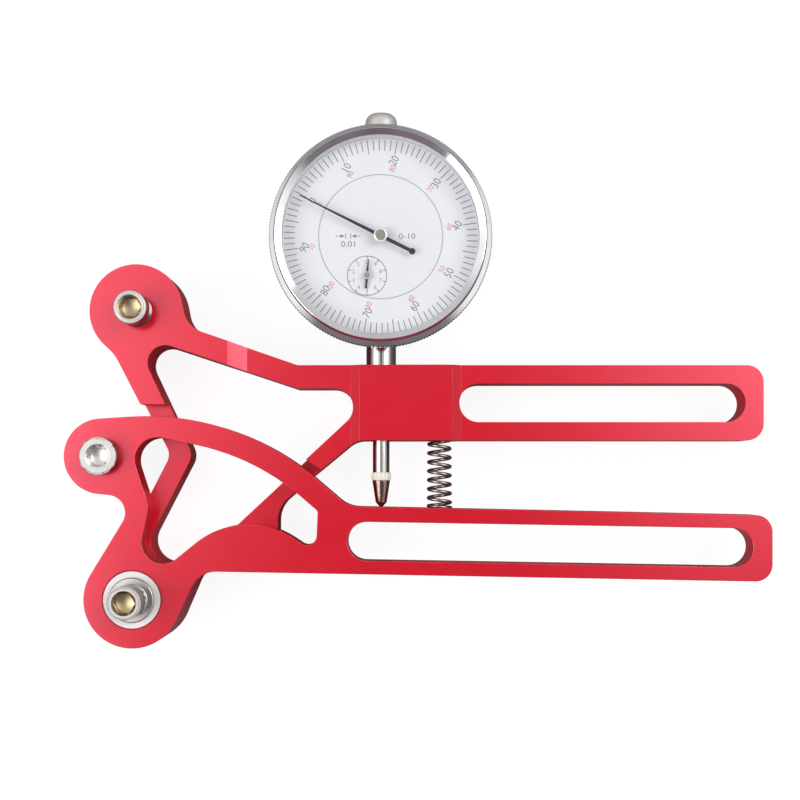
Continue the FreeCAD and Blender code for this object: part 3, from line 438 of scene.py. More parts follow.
def make_rings_effect():
    """Fine turning rings about an axis; Across is 1 for each axis that the rings spread along."""
    inputs = {"Centre": (0.0, 0.0, 0.0), "Across": ROUND_Z, "Spacing": 0.0002}
    tree, given, outputs = new_effect("turning_rings", inputs, ["Rings", "Distance"])
    inputs = {0: object_position(tree), 1: given["Centre"]}
    away = value_of(tree, "ShaderNodeVectorMath", inputs, operation="SUBTRACT")
    flat = value_of(tree, "ShaderNodeVectorMath", {0: away, 1: given["Across"]}, operation="MULTIPLY")
    distance = value_of(tree, "ShaderNodeVectorMath", {0: flat}, "Value", operation="LENGTH")
    inputs = {"W": distance / given["Spacing"], "Scale": 1.0, "Detail": 2.0}
    give(outputs["Rings"], value_of(tree, "ShaderNodeTexNoise", inputs, "Fac", noise_dimensions="1D"))
    give(outputs["Distance"], distance)


def make_smudge_effect():
    """Broad finger smudges."""
    tree, given, outputs = new_effect("finger_smudges", {"Scale": 140.0}, ["Smudge"])
    inputs = {"Vector": object_position(tree), "Scale": given["Scale"], "Detail": 4.0, "Distortion": 0.6}
    give(outputs["Smudge"], value_of(tree, "ShaderNodeTexNoise", inputs, "Fac"))


# ---------------------------------------------------------------- finishes

# How much of the speckles, rings, rubbed edges and painted edge highlights shows, and how dark or light
# they are beside the base.
SPECKLES = 0.42
SPECKLE_SHADE = 0.55
RINGS = 0.20
RING_SHADE = 0.6
SMUDGE_SHADES = (0.86, 1.08)
ANODISED_EDGE_HIGHLIGHT = 0.55
BRUSHED_WEAR = 0.5
WORN_SHADE = 1.35

# The Z of a post's normal, from its walls to its top, and from its chamfer to its flat face.
WALL_TO_TOP = (0.45, 0.68)
CHAMFER_TO_FACE = (0.93, 0.99)

# The roughness of a post's walls beside that of its top, and how much of a metal its rim with the painted
# highlight is.
WALL_ROUGHNESS = 0.55
HIGHLIGHT_RIM_METAL = 0.2


class Finish:
    """A new material with its Principled shader."""

    def __init__(self, name):
        material = bpy.data.materials.new(name + "_finish")
        material.use_nodes = True
        self.tree = material.node_tree
        self.shader = self.tree.nodes["Principled BSDF"]

    def effect(self, name, **inputs):
        """The outputs of a shared effect that is placed in the tree."""
        group = bpy.data.node_groups[name]
        node = add_node(self.tree, "ShaderNodeGroup", labelled(inputs), node_tree=group)
        return {socket.name: Value(self.tree, socket) for socket in node.outputs}

    def feed(self, inputs):
        """Gives inputs of the shader their values."""
        for label, value in inputs.items():
            give(self.shader.inputs[label], value)

    def fed(self, label):
        """What flows into an input of the shader."""
        return Value(self.tree, self.shader.inputs[label].links[0].from_socket)

    def raise_surface(self, height, millimetres):
        """Bumps the surface by a height between 0 and 1 that stands for the millimetres."""
        inputs = {"Height": height, "Distance": millimetres * MM, "Strength": 1.0}
        self.feed({"Normal": value_of(self.tree, "ShaderNodeBump", inputs)})

    def show(self, surface):
        """Makes another shader the material's surface."""
        give(self.tree.nodes["Material Output"].inputs["Surface"], surface)


def finish_named(name):
    return bpy.data.materials[name + "_finish"]


def make_grained(name, base, rough, shades, scales, depth):
    """A fine grain, mottling between two shades of the base, and smudges that change the roughness.

    The scales are those of the grain, the mottling and the smudges; the depth is the grain's, in mm.
    """
    finish = Finish(name)
    grain_scale, mottle_scale, smudge_scale = scales
    grain = finish.effect("fine_grain", grain_scale=grain_scale, mottle_scale=mottle_scale)
    smudge = finish.effect("finger_smudges", scale=smudge_scale)["Smudge"]
    darker, lighter = shades
    finish.feed({
        "Base Color": grain["Mottle"].colour(base * darker, base * lighter),
        "Roughness": smudge.between(*rough),
    })
    finish.raise_surface(grain["Grain"], depth)
    return finish, grain["Grain"]


def make_anodised(name, colours, mottle_scale):
    """Bead-blasted, red anodised aluminium, with a patchy painted highlight on its broken edges."""
    red = Vector(colours.anodised)
    scales = (3600.0, mottle_scale, 90.0)
    finish, grain = make_grained(name, red, (0.14, 0.20), shades=(0.95, 1.03), scales=scales, depth=0.004)
    speckled = (grain * SPECKLES).colour(finish.fed("Base Color"), red * SPECKLE_SHADE)
    # The patchy edge mask paints a pale red highlight on the frames' broken edges.
    edge_patches = finish.effect("edge_wear", scale=700.0)["Wear"]
    finish.feed({
        "Base Color": (edge_patches * ANODISED_EDGE_HIGHLIGHT).colour(speckled, colours.anodised_edge),
        "Metallic": 0.20,
        "IOR": 2.0,
        "Specular Tint": (1.0, 0.78, 1.0, 1.0),
    })


def make_brushed(name, colour_value, rough, metal):
    """Satin metal with a fine grain, and brighter where its edges are rubbed."""
    base = Vector(colour_value)
    scales = (5400.0, 110.0, 160.0)
    finish = make_grained(name, base, rough, shades=(0.84, 1.1), scales=scales, depth=0.002)[0]
    edge_patches = finish.effect("edge_wear", scale=900.0)["Wear"]
    worn = (edge_patches * BRUSHED_WEAR).colour(finish.fed("Base Color"), base * WORN_SHADE)
    finish.feed({"Base Color": worn, "Metallic": metal})


def make_moulded(name, colour_value, rough, depth=0.003, shine=0.5):
    """Moulded plastic, or enamel and paint, which aren't metal."""
    base = Vector(colour_value)
    scales = (5200.0, 170.0, 120.0)
    finish = make_grained(name, base, rough, shades=(0.955, 1.03), scales=scales, depth=depth)[0]
    finish.feed({"Metallic": 0.0, "Specular IOR Level": shine})


def make_polished(name, colour_value, rough, centre, across, spacing=0.14, depth=0.0012):
    """Turned and polished metal, with rings about its own axis and faint smudges.

    The rings' spacing and depth are in mm. What comes back too is the distance from the axis.
    """
    finish = Finish(name)
    rings = finish.effect("turning_rings", centre=centre, across=across, spacing=spacing * MM)
    smudge = finish.effect("finger_smudges", scale=240.0)["Smudge"]
    base = Vector(colour_value)
    smudged = smudge.colour(*[base * shade for shade in SMUDGE_SHADES])
    finish.feed({
        "Base Color": (rings["Rings"] * RINGS).colour(smudged, base * RING_SHADE),
        "Metallic": 1.0,
        "Roughness": ((smudge + rings["Rings"]) * 0.5).between(*rough),
    })
    finish.raise_surface(rings["Rings"], depth)
    return finish, rings["Distance"]


def make_post(node, colours, socket_colour, lit_satin_depth):
    """A socket-headed post: satin to a depth, with a painted highlight on its rim, painted shade on its
    walls and below that depth, and a coloured socket.
    """
    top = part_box(node)[1].z
    finish, distance = make_polished(node, colours.post, (0.30, 0.44), middle_of(node), ROUND_Z)
    height = object_position(finish.tree).parts()[2]
    facing = value_of(finish.tree, "ShaderNodeTexCoord", output="Normal").parts()[2]
    # Upward faces above the satin depth keep the lit steel; the walls, and all below that depth, take
    # painted shade.
    upward = facing.ramp(*WALL_TO_TOP) * (height > top - lit_satin_depth)
    socket = (distance < SOCKET_MOUTH + HAIR) * (height < top - HAIR) * (height > top - SOCKET_REACH)
    tilted = upward * (1.0 - facing.ramp(*CHAMFER_TO_FACE))
    # The tilted chamfer at the top, outside the socket, gets a painted highlight.
    rim = tilted * (height > top - POST_RIM) * (1.0 - socket)
    outside = upward.colour(colours.post_wall, finish.fed("Base Color"))
    finish.feed({
        "Base Color": rim.colour(socket.colour(outside, socket_colour), colours.chamfer),
        "Metallic": rim.between(1.0, HIGHLIGHT_RIM_METAL),
        "Roughness": finish.fed("Roughness") * upward.between(WALL_ROUGHNESS, 1.0),
    })


def make_hub(name, colours, centre, face_radius):
    """Champagne face of a pointer's hub, with a painted highlight on the chamfer round it."""
    finish, distance = make_polished(name, colours.champagne, (0.24, 0.40), centre, ROUND_Z, spacing=0.1)
    outside = distance > face_radius
    # Outside the face, the chamfer gets a painted highlight.
    finish.feed({"Base Color": outside.colour(finish.fed("Base Color"), colours.chamfer)})


def make_rim(name, colours):
    """Chrome of the bezel, painted a pale matt grey on the wall under the crystal."""
    centre = middle_of("bezel")
    finish, distance = make_polished(name, colours.chrome, (0.05, 0.16), centre, ROUND_Z, spacing=0.3)
    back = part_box("crystal")[0].z
    height = object_position(finish.tree).parts()[2]
    painted = (distance < width_of("crystal") / 2) * (height < back + HAIR / 2)
    finish.feed({
        "Base Color": painted.colour(finish.fed("Base Color"), colours.rim_paint),
        "Metallic": 1.0 - painted,
    })


def make_crystal(name, colours):
    """Clear glass that lamps and soft light reach through."""
    finish = Finish(name)
    tree = finish.tree
    finish.feed({
        "Base Color": (*colours.glass, 1.0),
        "Metallic": 0.0,
        "Transmission Weight": 1.0,
        "IOR": 1.49,
        "Roughness": finish.effect("finger_smudges", scale=90.0)["Smudge"].between(0.0, 0.025),
    })
    passing = ray(tree, "Shadow") | ray(tree, "Diffuse")
    glass = Value(tree, finish.shader.outputs[0])
    clear = value_of(tree, "ShaderNodeBsdfTransparent")
    finish.show(value_of(tree, "ShaderNodeMixShader", {0: passing, 1: glass, 2: clear}))


def make_paper(name, colours, glow):
    """Matt paper for a floor, which glows a little to the camera."""
    finish = Finish(name)
    tree = finish.tree
    tree.nodes.remove(finish.shader)
    noise = value_of(tree, "ShaderNodeTexNoise", {"Vector": object_position(tree), "Scale": 25.0}, "Fac")
    flecked = noise.colour(colours.paper, colours.paper_light)
    matt = value_of(tree, "ShaderNodeBsdfDiffuse", {"Color": flecked})
    light = value_of(tree, "ShaderNodeEmission", {"Color": (*WHITE, 1.0), "Strength": glow})
    lit = value_of(tree, "ShaderNodeAddShader", {0: matt, 1: light})
    seen = ray(tree, "Camera") | ray(tree, "Transmission")
    finish.show(value_of(tree, "ShaderNodeMixShader", {0: seen, 1: matt, 2: lit}))


# ---------------------------------------------------------------- mesh helpers


def middle_of(node):
    low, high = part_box(node)
    return (low + high) / 2


def flat_middle(node):
    """The middle of a CAD node in X and Y, at height 0."""
    middle = middle_of(node)
    return Vector((middle.x, middle.y, 0))


def width_of(node):
    low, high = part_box(node)
    return high.x - low.x


def new_object(name, data):
    """An object of the scene that holds the data."""
    piece = bpy.data.objects.new(name, data)
    bpy.context.scene.collection.objects.link(piece)
    return piece


def evaluated_mesh(helper):
    """A plain mesh of a helper with its modifiers or text applied; the helper is removed."""
    depsgraph = bpy.context.evaluated_depsgraph_get()
    mesh = bpy.data.meshes.new_from_object(helper.evaluated_get(depsgraph))
    bpy.data.objects.remove(helper)
    return mesh


def built_mesh(bm, name):
    """A mesh of what has been built up in a bmesh, which is freed."""
    mesh = bpy.data.meshes.new(name)
    bm.to_mesh(mesh)
    bm.free()
    return mesh


def place_piece(name, mesh, finish, body, replaced=()):
    """The finished piece: an object at the origin that rides on its body, if one is given."""
    mesh.name = name
    mesh.materials.clear()
    mesh.materials.append(finish_named(finish))
    piece = new_object(name, mesh)
    if body:
        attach(piece, body)
    if replaced:
        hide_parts(*replaced)
    return piece


def solid_copy(node):
    """The CAD node's mesh as one joined skin, its flat faces made whole again."""
    bm = bmesh.new()
    bm.from_mesh(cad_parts[node].data)
    for layer in list(bm.loops.layers.float_vector):
        bm.loops.layers.float_vector.remove(layer)
    bmesh.ops.remove_doubles(bm, verts=bm.verts, dist=WELD)
    bmesh.ops.dissolve_limit(
        bm, angle_limit=FLAT_BEND, verts=bm.verts, edges=bm.edges, use_dissolve_boundaries=False
    )
    for face in bm.faces:
        face.smooth = True
    return built_mesh(bm, node + "_skin")


def mark_edge_band(mesh):
    """Marks the broken edges, which have the second material, for the rubbed patches and the painted
    highlight that show on them.
    """
    band = mesh.attributes.new("edge_band", "FLOAT", "FACE")
    for polygon in mesh.polygons:
        band.data[polygon.index].value = float(polygon.material_index > 0)
        polygon.material_index = 0


def flatten_large_faces(mesh):
    """Gives each large, fairly level face its own straight normal, so that slight bends show."""
    normals = [corner.vector.copy() for corner in mesh.corner_normals]
    for polygon in mesh.polygons:
        if polygon.area > LARGE_FACE and abs(polygon.normal.z) > LEVEL_FACE:
            for index in polygon.loop_indices:
                normals[index] = polygon.normal.copy()
    mesh.normals_split_custom_set(normals)


def softened_copy(node, width, segments=2, cutter=None):
    """A copy of a CAD node, cut by a cutter if there is one, with broken edges and smooth rounds."""
    mesh = solid_copy(node)
    mesh.materials.append(None)
    mesh.materials.append(None)
    bevel = {
        "width": width,
        "segments": segments,
        "limit_method": "ANGLE",
        "angle_limit": SHARP_BEND,
        "use_clamp_overlap": True,
        "miter_outer": "MITER_ARC",
        "material": 1,
    }
    weighted = {"mode": "FACE_AREA", "weight": 80, "keep_sharp": True}
    modifiers = {"BEVEL": bevel, "WEIGHTED_NORMAL": weighted}
    if cutter:
        cut = {"operation": "DIFFERENCE", "solver": "EXACT", "object": cutter}
        modifiers = {"BOOLEAN": cut, **modifiers}
    helper = new_object(node + "_helper", mesh)
    for kind, settings in modifiers.items():
        modifier = helper.modifiers.new(kind.lower(), kind)
        for key, value in settings.items():
            setattr(modifier, key, value)
    softened = evaluated_mesh(helper)
    mark_edge_band(softened)
    flatten_large_faces(softened)
    return softened


def dress(node, ending, width, finish, body, slot, **options):
    """Lays a softened copy of a CAD node over it."""
    place_piece(node + ending, softened_copy(node, width, **options), finish, body, [node])


def solid_mesh(name, corners, faces):
    """A mesh of corners, and of faces that name their corners by number."""
    bm = bmesh.new()
    points = [bm.verts.new(corner) for corner in corners]
    for face in faces:
        bm.faces.new([points[index] for index in face])
    bmesh.ops.recalc_face_normals(bm, faces=bm.faces)
    return built_mesh(bm, name)


def prism_mesh(name, outline, low_z, high_z):
    """A flat outline in X and Y, raised from one height to another."""
    total = len(outline)
    corners = [(x, y, z) for z in (low_z, high_z) for x, y in outline]
    faces = [range(total), range(total, 2 * total)]
    for index in range(total):
        after = (index + 1) % total
        faces.append((index, after, total + after, total + index))
    return solid_mesh(name, corners, faces)


def lathe_mesh(name, profile, centre, along, segments):
    """A closed profile of (radius, distance along the axis) points, turned about a Y or Z axis."""
    bm = bmesh.new()
    rings = []
    for step in range(segments):
        angle = 2 * math.pi * step / segments
        ring = []
        for radius, height in profile:
            first = radius * math.cos(angle)
            second = radius * math.sin(angle)
            point = (first, second, height) if along == "Z" else (second, height, first)
            ring.append(bm.verts.new(Vector(point) + centre))
        rings.append(ring)
    for here, there in zip(rings, rings[1:] + rings[:1]):
        for index in range(len(profile)):
            after = (index + 1) % len(profile)
            bm.faces.new((here[index], there[index], there[after], here[after]))
    bmesh.ops.remove_doubles(bm, verts=bm.verts, dist=TURNED_WELD)
    bmesh.ops.recalc_face_normals(bm, faces=bm.faces)
    for face in bm.faces:
        face.smooth = True
    mesh = built_mesh(bm, name)
    mesh.set_sharp_from_angle(angle=TURNED_BEND)
    return mesh


def joined_mesh(name, meshes):
    """Several meshes as one."""
    bm = bmesh.new()
    for mesh in meshes:
        bm.from_mesh(mesh)
    return built_mesh(bm, name)


# ---------------------------------------------------------------- geometry node trees


def line_of_points(tree, number):
    """Points on one spot, and the index that each one has."""
    inputs = {"Count": number, "Offset": (0.0, 0.0, 0.0)}
    points = value_of(tree, "GeometryNodeMeshLine", inputs, mode="OFFSET")
    return points, value_of(tree, "GeometryNodeInputIndex")


def make_ring_tree():
    """Copies of one shape round an axis; every so many of them may be left out."""
    inputs = {
        "Count": 12,
        "Start": 0.0,
        "Leave Out Every": NEVER,
        "Keep First": True,
        "Centre": (0.0, 0.0, 0.0),
        "Tilt": (0.0, 0.0, 0.0),
    }
    tree, given, outputs = new_geometry_tree("ring_of_copies", inputs)
    points, index = line_of_points(tree, given["Count"])
    angle = index * (2 * math.pi / given["Count"]) + given["Start"]
    rotation = value_of(tree, "ShaderNodeCombineXYZ", {"Z": angle})
    between = math_node("MODULO", index, given["Leave Out Every"]) > 0.5
    kept = value_of(tree, "FunctionNodeBooleanMath", {0: between, 1: given["Keep First"]}, operation="OR")
    inputs = {"Points": points, "Selection": kept, "Instance": given["Geometry"], "Rotation": rotation}
    copies = value_of(tree, "GeometryNodeInstanceOnPoints", inputs)
    inputs = {"Geometry": copies, "Translation": given["Centre"], "Rotation": given["Tilt"]}
    placed = value_of(tree, "GeometryNodeTransform", inputs)
    give(outputs["Geometry"], value_of(tree, "GeometryNodeRealizeInstances", {0: placed}))


def make_coil_tree():
    """A compression spring along Y: closed at both ends, a little wider at its low end."""
    inputs = {
        "Turns": 8.0,
        "Closed Turns": 1.0,
        "Steps": 300,
        "Low Radius": 0.003,
        "High Radius": 0.0028,
        "Wire Radius": 0.0004,
        "Height": 0.02,
        "Centre": (0.0, 0.0, 0.0),
        "Start": 0.0,
    }
    tree, given, outputs = new_geometry_tree("compression_coil", inputs)
    points, index = line_of_points(tree, given["Steps"])
    closed = given["Closed Turns"]
    along = index / (given["Steps"] - 1.0)
    turned = along * given["Turns"]
    wire = given["Wire Radius"] * 2.0
    upper_start = given["Turns"] - closed
    low_part = turned & closed
    high_part = (turned - upper_start) | 0.0
    open_part = turned - low_part - high_part
    open_height = given["Height"] - wire - wire * closed * 2.0
    pitch = open_height / (upper_start - closed)
    height = (low_part + high_part) * wire + open_part * pitch + given["Wire Radius"]
    radius = along.between(given["Low Radius"], given["High Radius"])
    angle = turned * (-2 * math.pi) + given["Start"]
    x = math_node("SINE", angle) * radius
    z = math_node("COSINE", angle) * radius
    spot = value_of(tree, "ShaderNodeCombineXYZ", {"X": x, "Y": height, "Z": z})
    centred = value_of(tree, "ShaderNodeVectorMath", {0: spot, 1: given["Centre"]}, operation="ADD")
    bent = value_of(tree, "GeometryNodeSetPosition", {"Geometry": points, "Position": centred})
    curve = value_of(tree, "GeometryNodeMeshToCurve", {0: bent})
    inputs = {"Resolution": 12, "Radius": given["Wire Radius"]}
    section = value_of(tree, "GeometryNodeCurvePrimitiveCircle", inputs)
    inputs = {"Curve": curve, "Profile Curve": section, "Fill Caps": True}
    give(outputs["Geometry"], value_of(tree, "GeometryNodeCurveToMesh", inputs))


def run_tree(name, mesh, **values):
    """The plain mesh that a geometry tree makes from a mesh and named input values."""
    helper = new_object(name + "_helper", mesh)
    modifier = helper.modifiers.new(name, "NODES")
    modifier.node_group = bpy.data.node_groups[name]
    sockets = [item for item in modifier.node_group.interface.items_tree if item.item_type == "SOCKET"]
    identifiers = {item.name: item.identifier for item in sockets if item.in_out == "INPUT"}
    for label, value in labelled(values).items():
        modifier[identifiers[label]] = value
    return evaluated_mesh(helper)


# ---------------------------------------------------------------- printing


def place_round(centre, radius, heading):
    """The place in X and Y at a radius and a heading from a centre."""
    return centre.x + radius * math.cos(heading), centre.y + radius * math.sin(heading)


def ring_print(name, centre, radius, width, low_z, high_z, segments=128):
    """A thin printed circle."""
    inner = radius - width / 2
    outer = radius + width / 2
    profile = [(inner, low_z), (outer, low_z), (outer, high_z), (inner, high_z)]
    return lathe_mesh(name, profile, Vector((centre.x, centre.y, 0)), "Z", segments)


def tick_prints(width, inner, outer, heights, **values):
    """Printed ticks round a centre, each from one radius to another."""
    half = width / 2
    outline = [(-half, inner), (half, inner), (half, outer), (-half, outer)]
    return run_tree("ring_of_copies", prism_mesh("tick", outline, *heights), **values)


def text_print(words, height, place, low_z, ink, turned=0.0, narrow=0.86):
    """Plain numbers as a thin mesh, centred on a place and turned anticlockwise."""
    curve = bpy.data.curves.new("number", "FONT")
    curve.body = words
    curve.extrude = 0.5
    curve.resolution_u = 3
    mesh = evaluated_mesh(new_object("number_helper", curve))
    low = Vector([min(vertex.co[axis] for vertex in mesh.vertices) for axis in range(3)])
    high = Vector([max(vertex.co[axis] for vertex in mesh.vertices) for axis in range(3)])
    tall = height / (high.y - low.y)
    size = Matrix.Diagonal((tall * narrow, tall, ink, 1))
    spot = Matrix.Translation((place[0], place[1], low_z + ink / 2))
    mesh.transform(spot @ Matrix.Rotation(turned, 4, "Z") @ size @ Matrix.Translation(-(low + high) / 2))
    return mesh


# ---------------------------------------------------------------- operators


class METER_OT_finishes(bpy.types.Operator):
    """Makes the shared effects, the geometry trees and the finishes"""

    bl_idname = "meter.finishes"
    bl_label = "Finishes"

    def execute(self, context):
        make_grain_effect()
        make_wear_effect()
        make_rings_effect()
        make_smudge_effect()
        make_ring_tree()
        make_coil_tree()
        colours = context.scene.meter_colours
        self.make_turned_finishes(context.scene, colours)
        make_anodised("upper_red", colours, 55.0)
        make_anodised("lower_red", colours, 45.0)
        for name, shade, rough, metal in (
            ("cap", colours.cap, (0.42, 0.54), 0.35),
            ("case", colours.satin, (0.30, 0.46), 1.0),
            ("brass", colours.brass, (0.28, 0.44), 1.0),
            ("arbor", colours.steel, (0.20, 0.34), 1.0),
            ("black", colours.black, (0.34, 0.50), 1.0),
        ):
            make_brushed(name, shade, rough, metal)
        make_moulded("nylon", colours.nylon, (0.46, 0.62))
        make_moulded("ivory", colours.ivory, (0.34, 0.48))
        make_moulded("enamel", colours.enamel, (0.42, 0.55), depth=0.0008)
        make_moulded("pointer", colours.pointer, (0.34, 0.46), depth=0.001, shine=0.12)
        for ink in ("ink_grey", "ink_red", "ink_pale"):
            make_moulded(ink, getattr(colours, ink), (0.50, 0.62), depth=0.0005)
        make_crystal("crystal_glass", colours)
        return {"FINISHED"}

    def make_turned_finishes(self, scene, colours):
        """Finishes with turning rings about the axis of the part that they are for."""
        make_post("top_post", colours, colours.warm_steel, lit_satin_depth=5 * MM)
        make_post("middle_post", colours, colours.grey_steel, lit_satin_depth=5 * MM)
        make_post("pivot_post", colours, colours.warm_steel, lit_satin_depth=20 * MM)
        gauge_axis = middle_of("gauge_stem")
        make_polished("stem", colours.steel, (0.10, 0.24), gauge_axis, ROUND_Y)
        make_polished("tip", colours.tip, (0.16, 0.34), gauge_axis, ROUND_Y)
        make_polished("coil", colours.spring, (0.16, 0.34), middle_of("main_spring"), ROUND_Y, depth=0.0006)
        make_rim("chrome", colours)
        make_hub("champagne", colours, middle_of("bezel"), scene.meter_sizes.hub_face)
        make_hub("small_hub", colours, middle_of("counter_arbor"), scene.dial_sizes.counter_hub_face)


class METER_OT_frames(bpy.types.Operator):
    """Gives the two anodised frames their broken edges"""

    bl_idname = "meter.frames"
    bl_label = "Anodised Frames"

    def execute(self, context):
        width = context.scene.meter_sizes.frame_edge
        dress("upper_frame", "_plate", width, "upper_red", "frame", "red_anodised")
        dress("lower_frame", "_plate", width, "lower_red", "lower_handle", "red_anodised")
        return {"FINISHED"}


class METER_OT_posts(bpy.types.Operator):
    """Finishes the spoke posts, the pivot post and the discs at the pivot"""

    bl_idname = "meter.posts"
    bl_label = "Posts and Pivot"

    def execute(self, context):
        sizes = context.scene.meter_sizes
        for node, body in (("top_post", "frame"), ("middle_post", "lower_handle"), ("pivot_post", "frame")):
            cutter = self.socket_cutter(sizes, node)
            dress(node, "_turned", sizes.post_edge, node, body, "post_steel", cutter=cutter)
            bpy.data.objects.remove(cutter)
        for node in ("pivot_disc", "thrust_washer"):
            dress(node, "_moulded", sizes.fine_edge, "nylon", "frame", "pale_nylon")
        return {"FINISHED"}

    def socket_cutter(self, sizes, node):
        """Cuts a post's socket a round lead-in at the mouth and a drilled cone at the floor."""
        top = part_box(node)[1].z
        above = 0.1 * MM
        floor = top - sizes.socket_depth
        step = top - sizes.socket_lead
        bore = sizes.socket_bore
        drill = sizes.drill_radius
        mouth = SOCKET_MOUTH + above * (SOCKET_MOUTH - bore) / sizes.socket_lead
        lead_in = [(0, top + above), (mouth, top + above), (bore, step), (0, step)]
        cone = [(0, floor + above), (drill, floor + above), (drill, floor), (0, floor - sizes.drill_tip)]
        axis = flat_middle(node)
        parts = [lathe_mesh("socket_cut", profile, axis, "Z", segments=48) for profile in (lead_in, cone)]
        return new_object("socket_cutter", joined_mesh("socket_cutter", parts))


class METER_OT_gauge_body(bpy.types.Operator):
    """Finishes the gauge's case, cover, stem and cap"""

    bl_idname = "meter.gauge_body"
    bl_label = "Gauge Body"

    def execute(self, context):
        sizes = context.scene.meter_sizes
        for node, finish, slot in (
            ("gauge_case", "case", "case_steel"),
            ("back_cover", "case", "case_steel"),
            ("gauge_stem", "stem", "post_steel"),
            ("stem_cap", "cap", "post_steel"),
        ):
            dress(node, "_finished", sizes.post_edge, finish, "frame", slot)
        self.make_cover_screws(sizes)
        return {"FINISHED"}

    def make_cover_screws(self, sizes):
        """Four low screw heads on the back cover."""
        radius = sizes.screw_radius
        edge = sizes.screw_edge
        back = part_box("back_cover")[0].z
        face = back - sizes.screw_height
        seat = back + edge
        profile = [(0, face), (radius - edge, face), (radius, face + edge), (radius, seat), (0, seat)]
        head = lathe_mesh("screw_head", profile, Vector((0, sizes.screw_circle, 0)), "Z", segments=24)
        centre = tuple(flat_middle("back_cover"))
        mesh = run_tree("ring_of_copies", head, count=4, start=math.radians(45), centre=centre)
        place_piece("cover_screws", mesh, "arbor", "frame")


class METER_OT_bezel(bpy.types.Operator):
    """Turns the bezel, knurls its belt and sets the crystal in it"""

    bl_idname = "meter.bezel"
    bl_label = "Bezel and Crystal"

    def execute(self, context):
        sizes = context.scene.meter_sizes
        centre = flat_middle("bezel")
        belt_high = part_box("bezel")[1].z - sizes.belt_drop
        belt = (belt_high - sizes.belt_height, belt_high)
        rim = lathe_mesh("bezel_rim", self.rim_profile(sizes, *belt), centre, "Z", segments=256)
        place_piece("bezel_rim", rim, "chrome", "bezel", ["bezel"])
        ridge = self.belt_ridge(sizes, *belt)
        knurl = run_tree("ring_of_copies", ridge, count=sizes.knurl_count, centre=tuple(centre))
        place_piece("belt_knurl", knurl, "chrome", "bezel")
        dress("crystal", "_pane", sizes.glass_edge, "crystal_glass", "bezel", "crystal_glass", segments=3)
        return {"FINISHED"}

    def rim_profile(self, sizes, belt_low, belt_high):
        """The bezel's section, from its back by the belt and the front to the seat of the crystal."""
        low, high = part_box("bezel")
        crystal_low, crystal_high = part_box("crystal")
        root = width_of("bezel") / 2 - sizes.knurl_depth
        seat = width_of("crystal") / 2 + HAIR
        inner = width_of("scale_ring") / 2 + SMALL_GAP
        lip = crystal_high.z + HAIR
        reach = sizes.rim_wall - sizes.rim_crest
        shoulder = sizes.rim_shoulder
        front = []
        for step in range(SHOULDER_STEPS + 1):
            angle = math.pi / 2 * step / SHOULDER_STEPS
            height = high.z - shoulder + shoulder * math.sin(angle)
            front.append((sizes.rim_crest + reach * math.cos(angle), height))
        return [
            (inner, low.z),
            (sizes.rim_wall, low.z),
            (sizes.rim_wall, belt_low - sizes.belt_ledge),
            (root, belt_low),
            (root, belt_high),
            (sizes.rim_wall, belt_high + sizes.belt_ledge),
            *front,
            (sizes.rim_mouth, lip + sizes.rim_lip),
            (sizes.rim_mouth, lip),
            (seat, lip),
            (seat, crystal_low.z),
            (inner, crystal_low.z),
        ]

    def belt_ridge(self, sizes, low, high):
        """One ridge of the belt's knurl, which slopes at both ends."""
        outer = width_of("bezel") / 2
        slope = sizes.knurl_depth
        root = outer - slope
        half = math.pi * outer / sizes.knurl_count * sizes.knurl_share
        feet = [(-half, root, low), (half, root, low), (half, root, high), (-half, root, high)]
        crest = [(0, outer, low + slope), (0, outer, high - slope)]
        faces = ((0, 1, 4), (1, 2, 5, 4), (2, 3, 5), (3, 0, 4, 5), (3, 2, 1, 0))
        return solid_mesh("belt_ridge", feet + crest, faces)


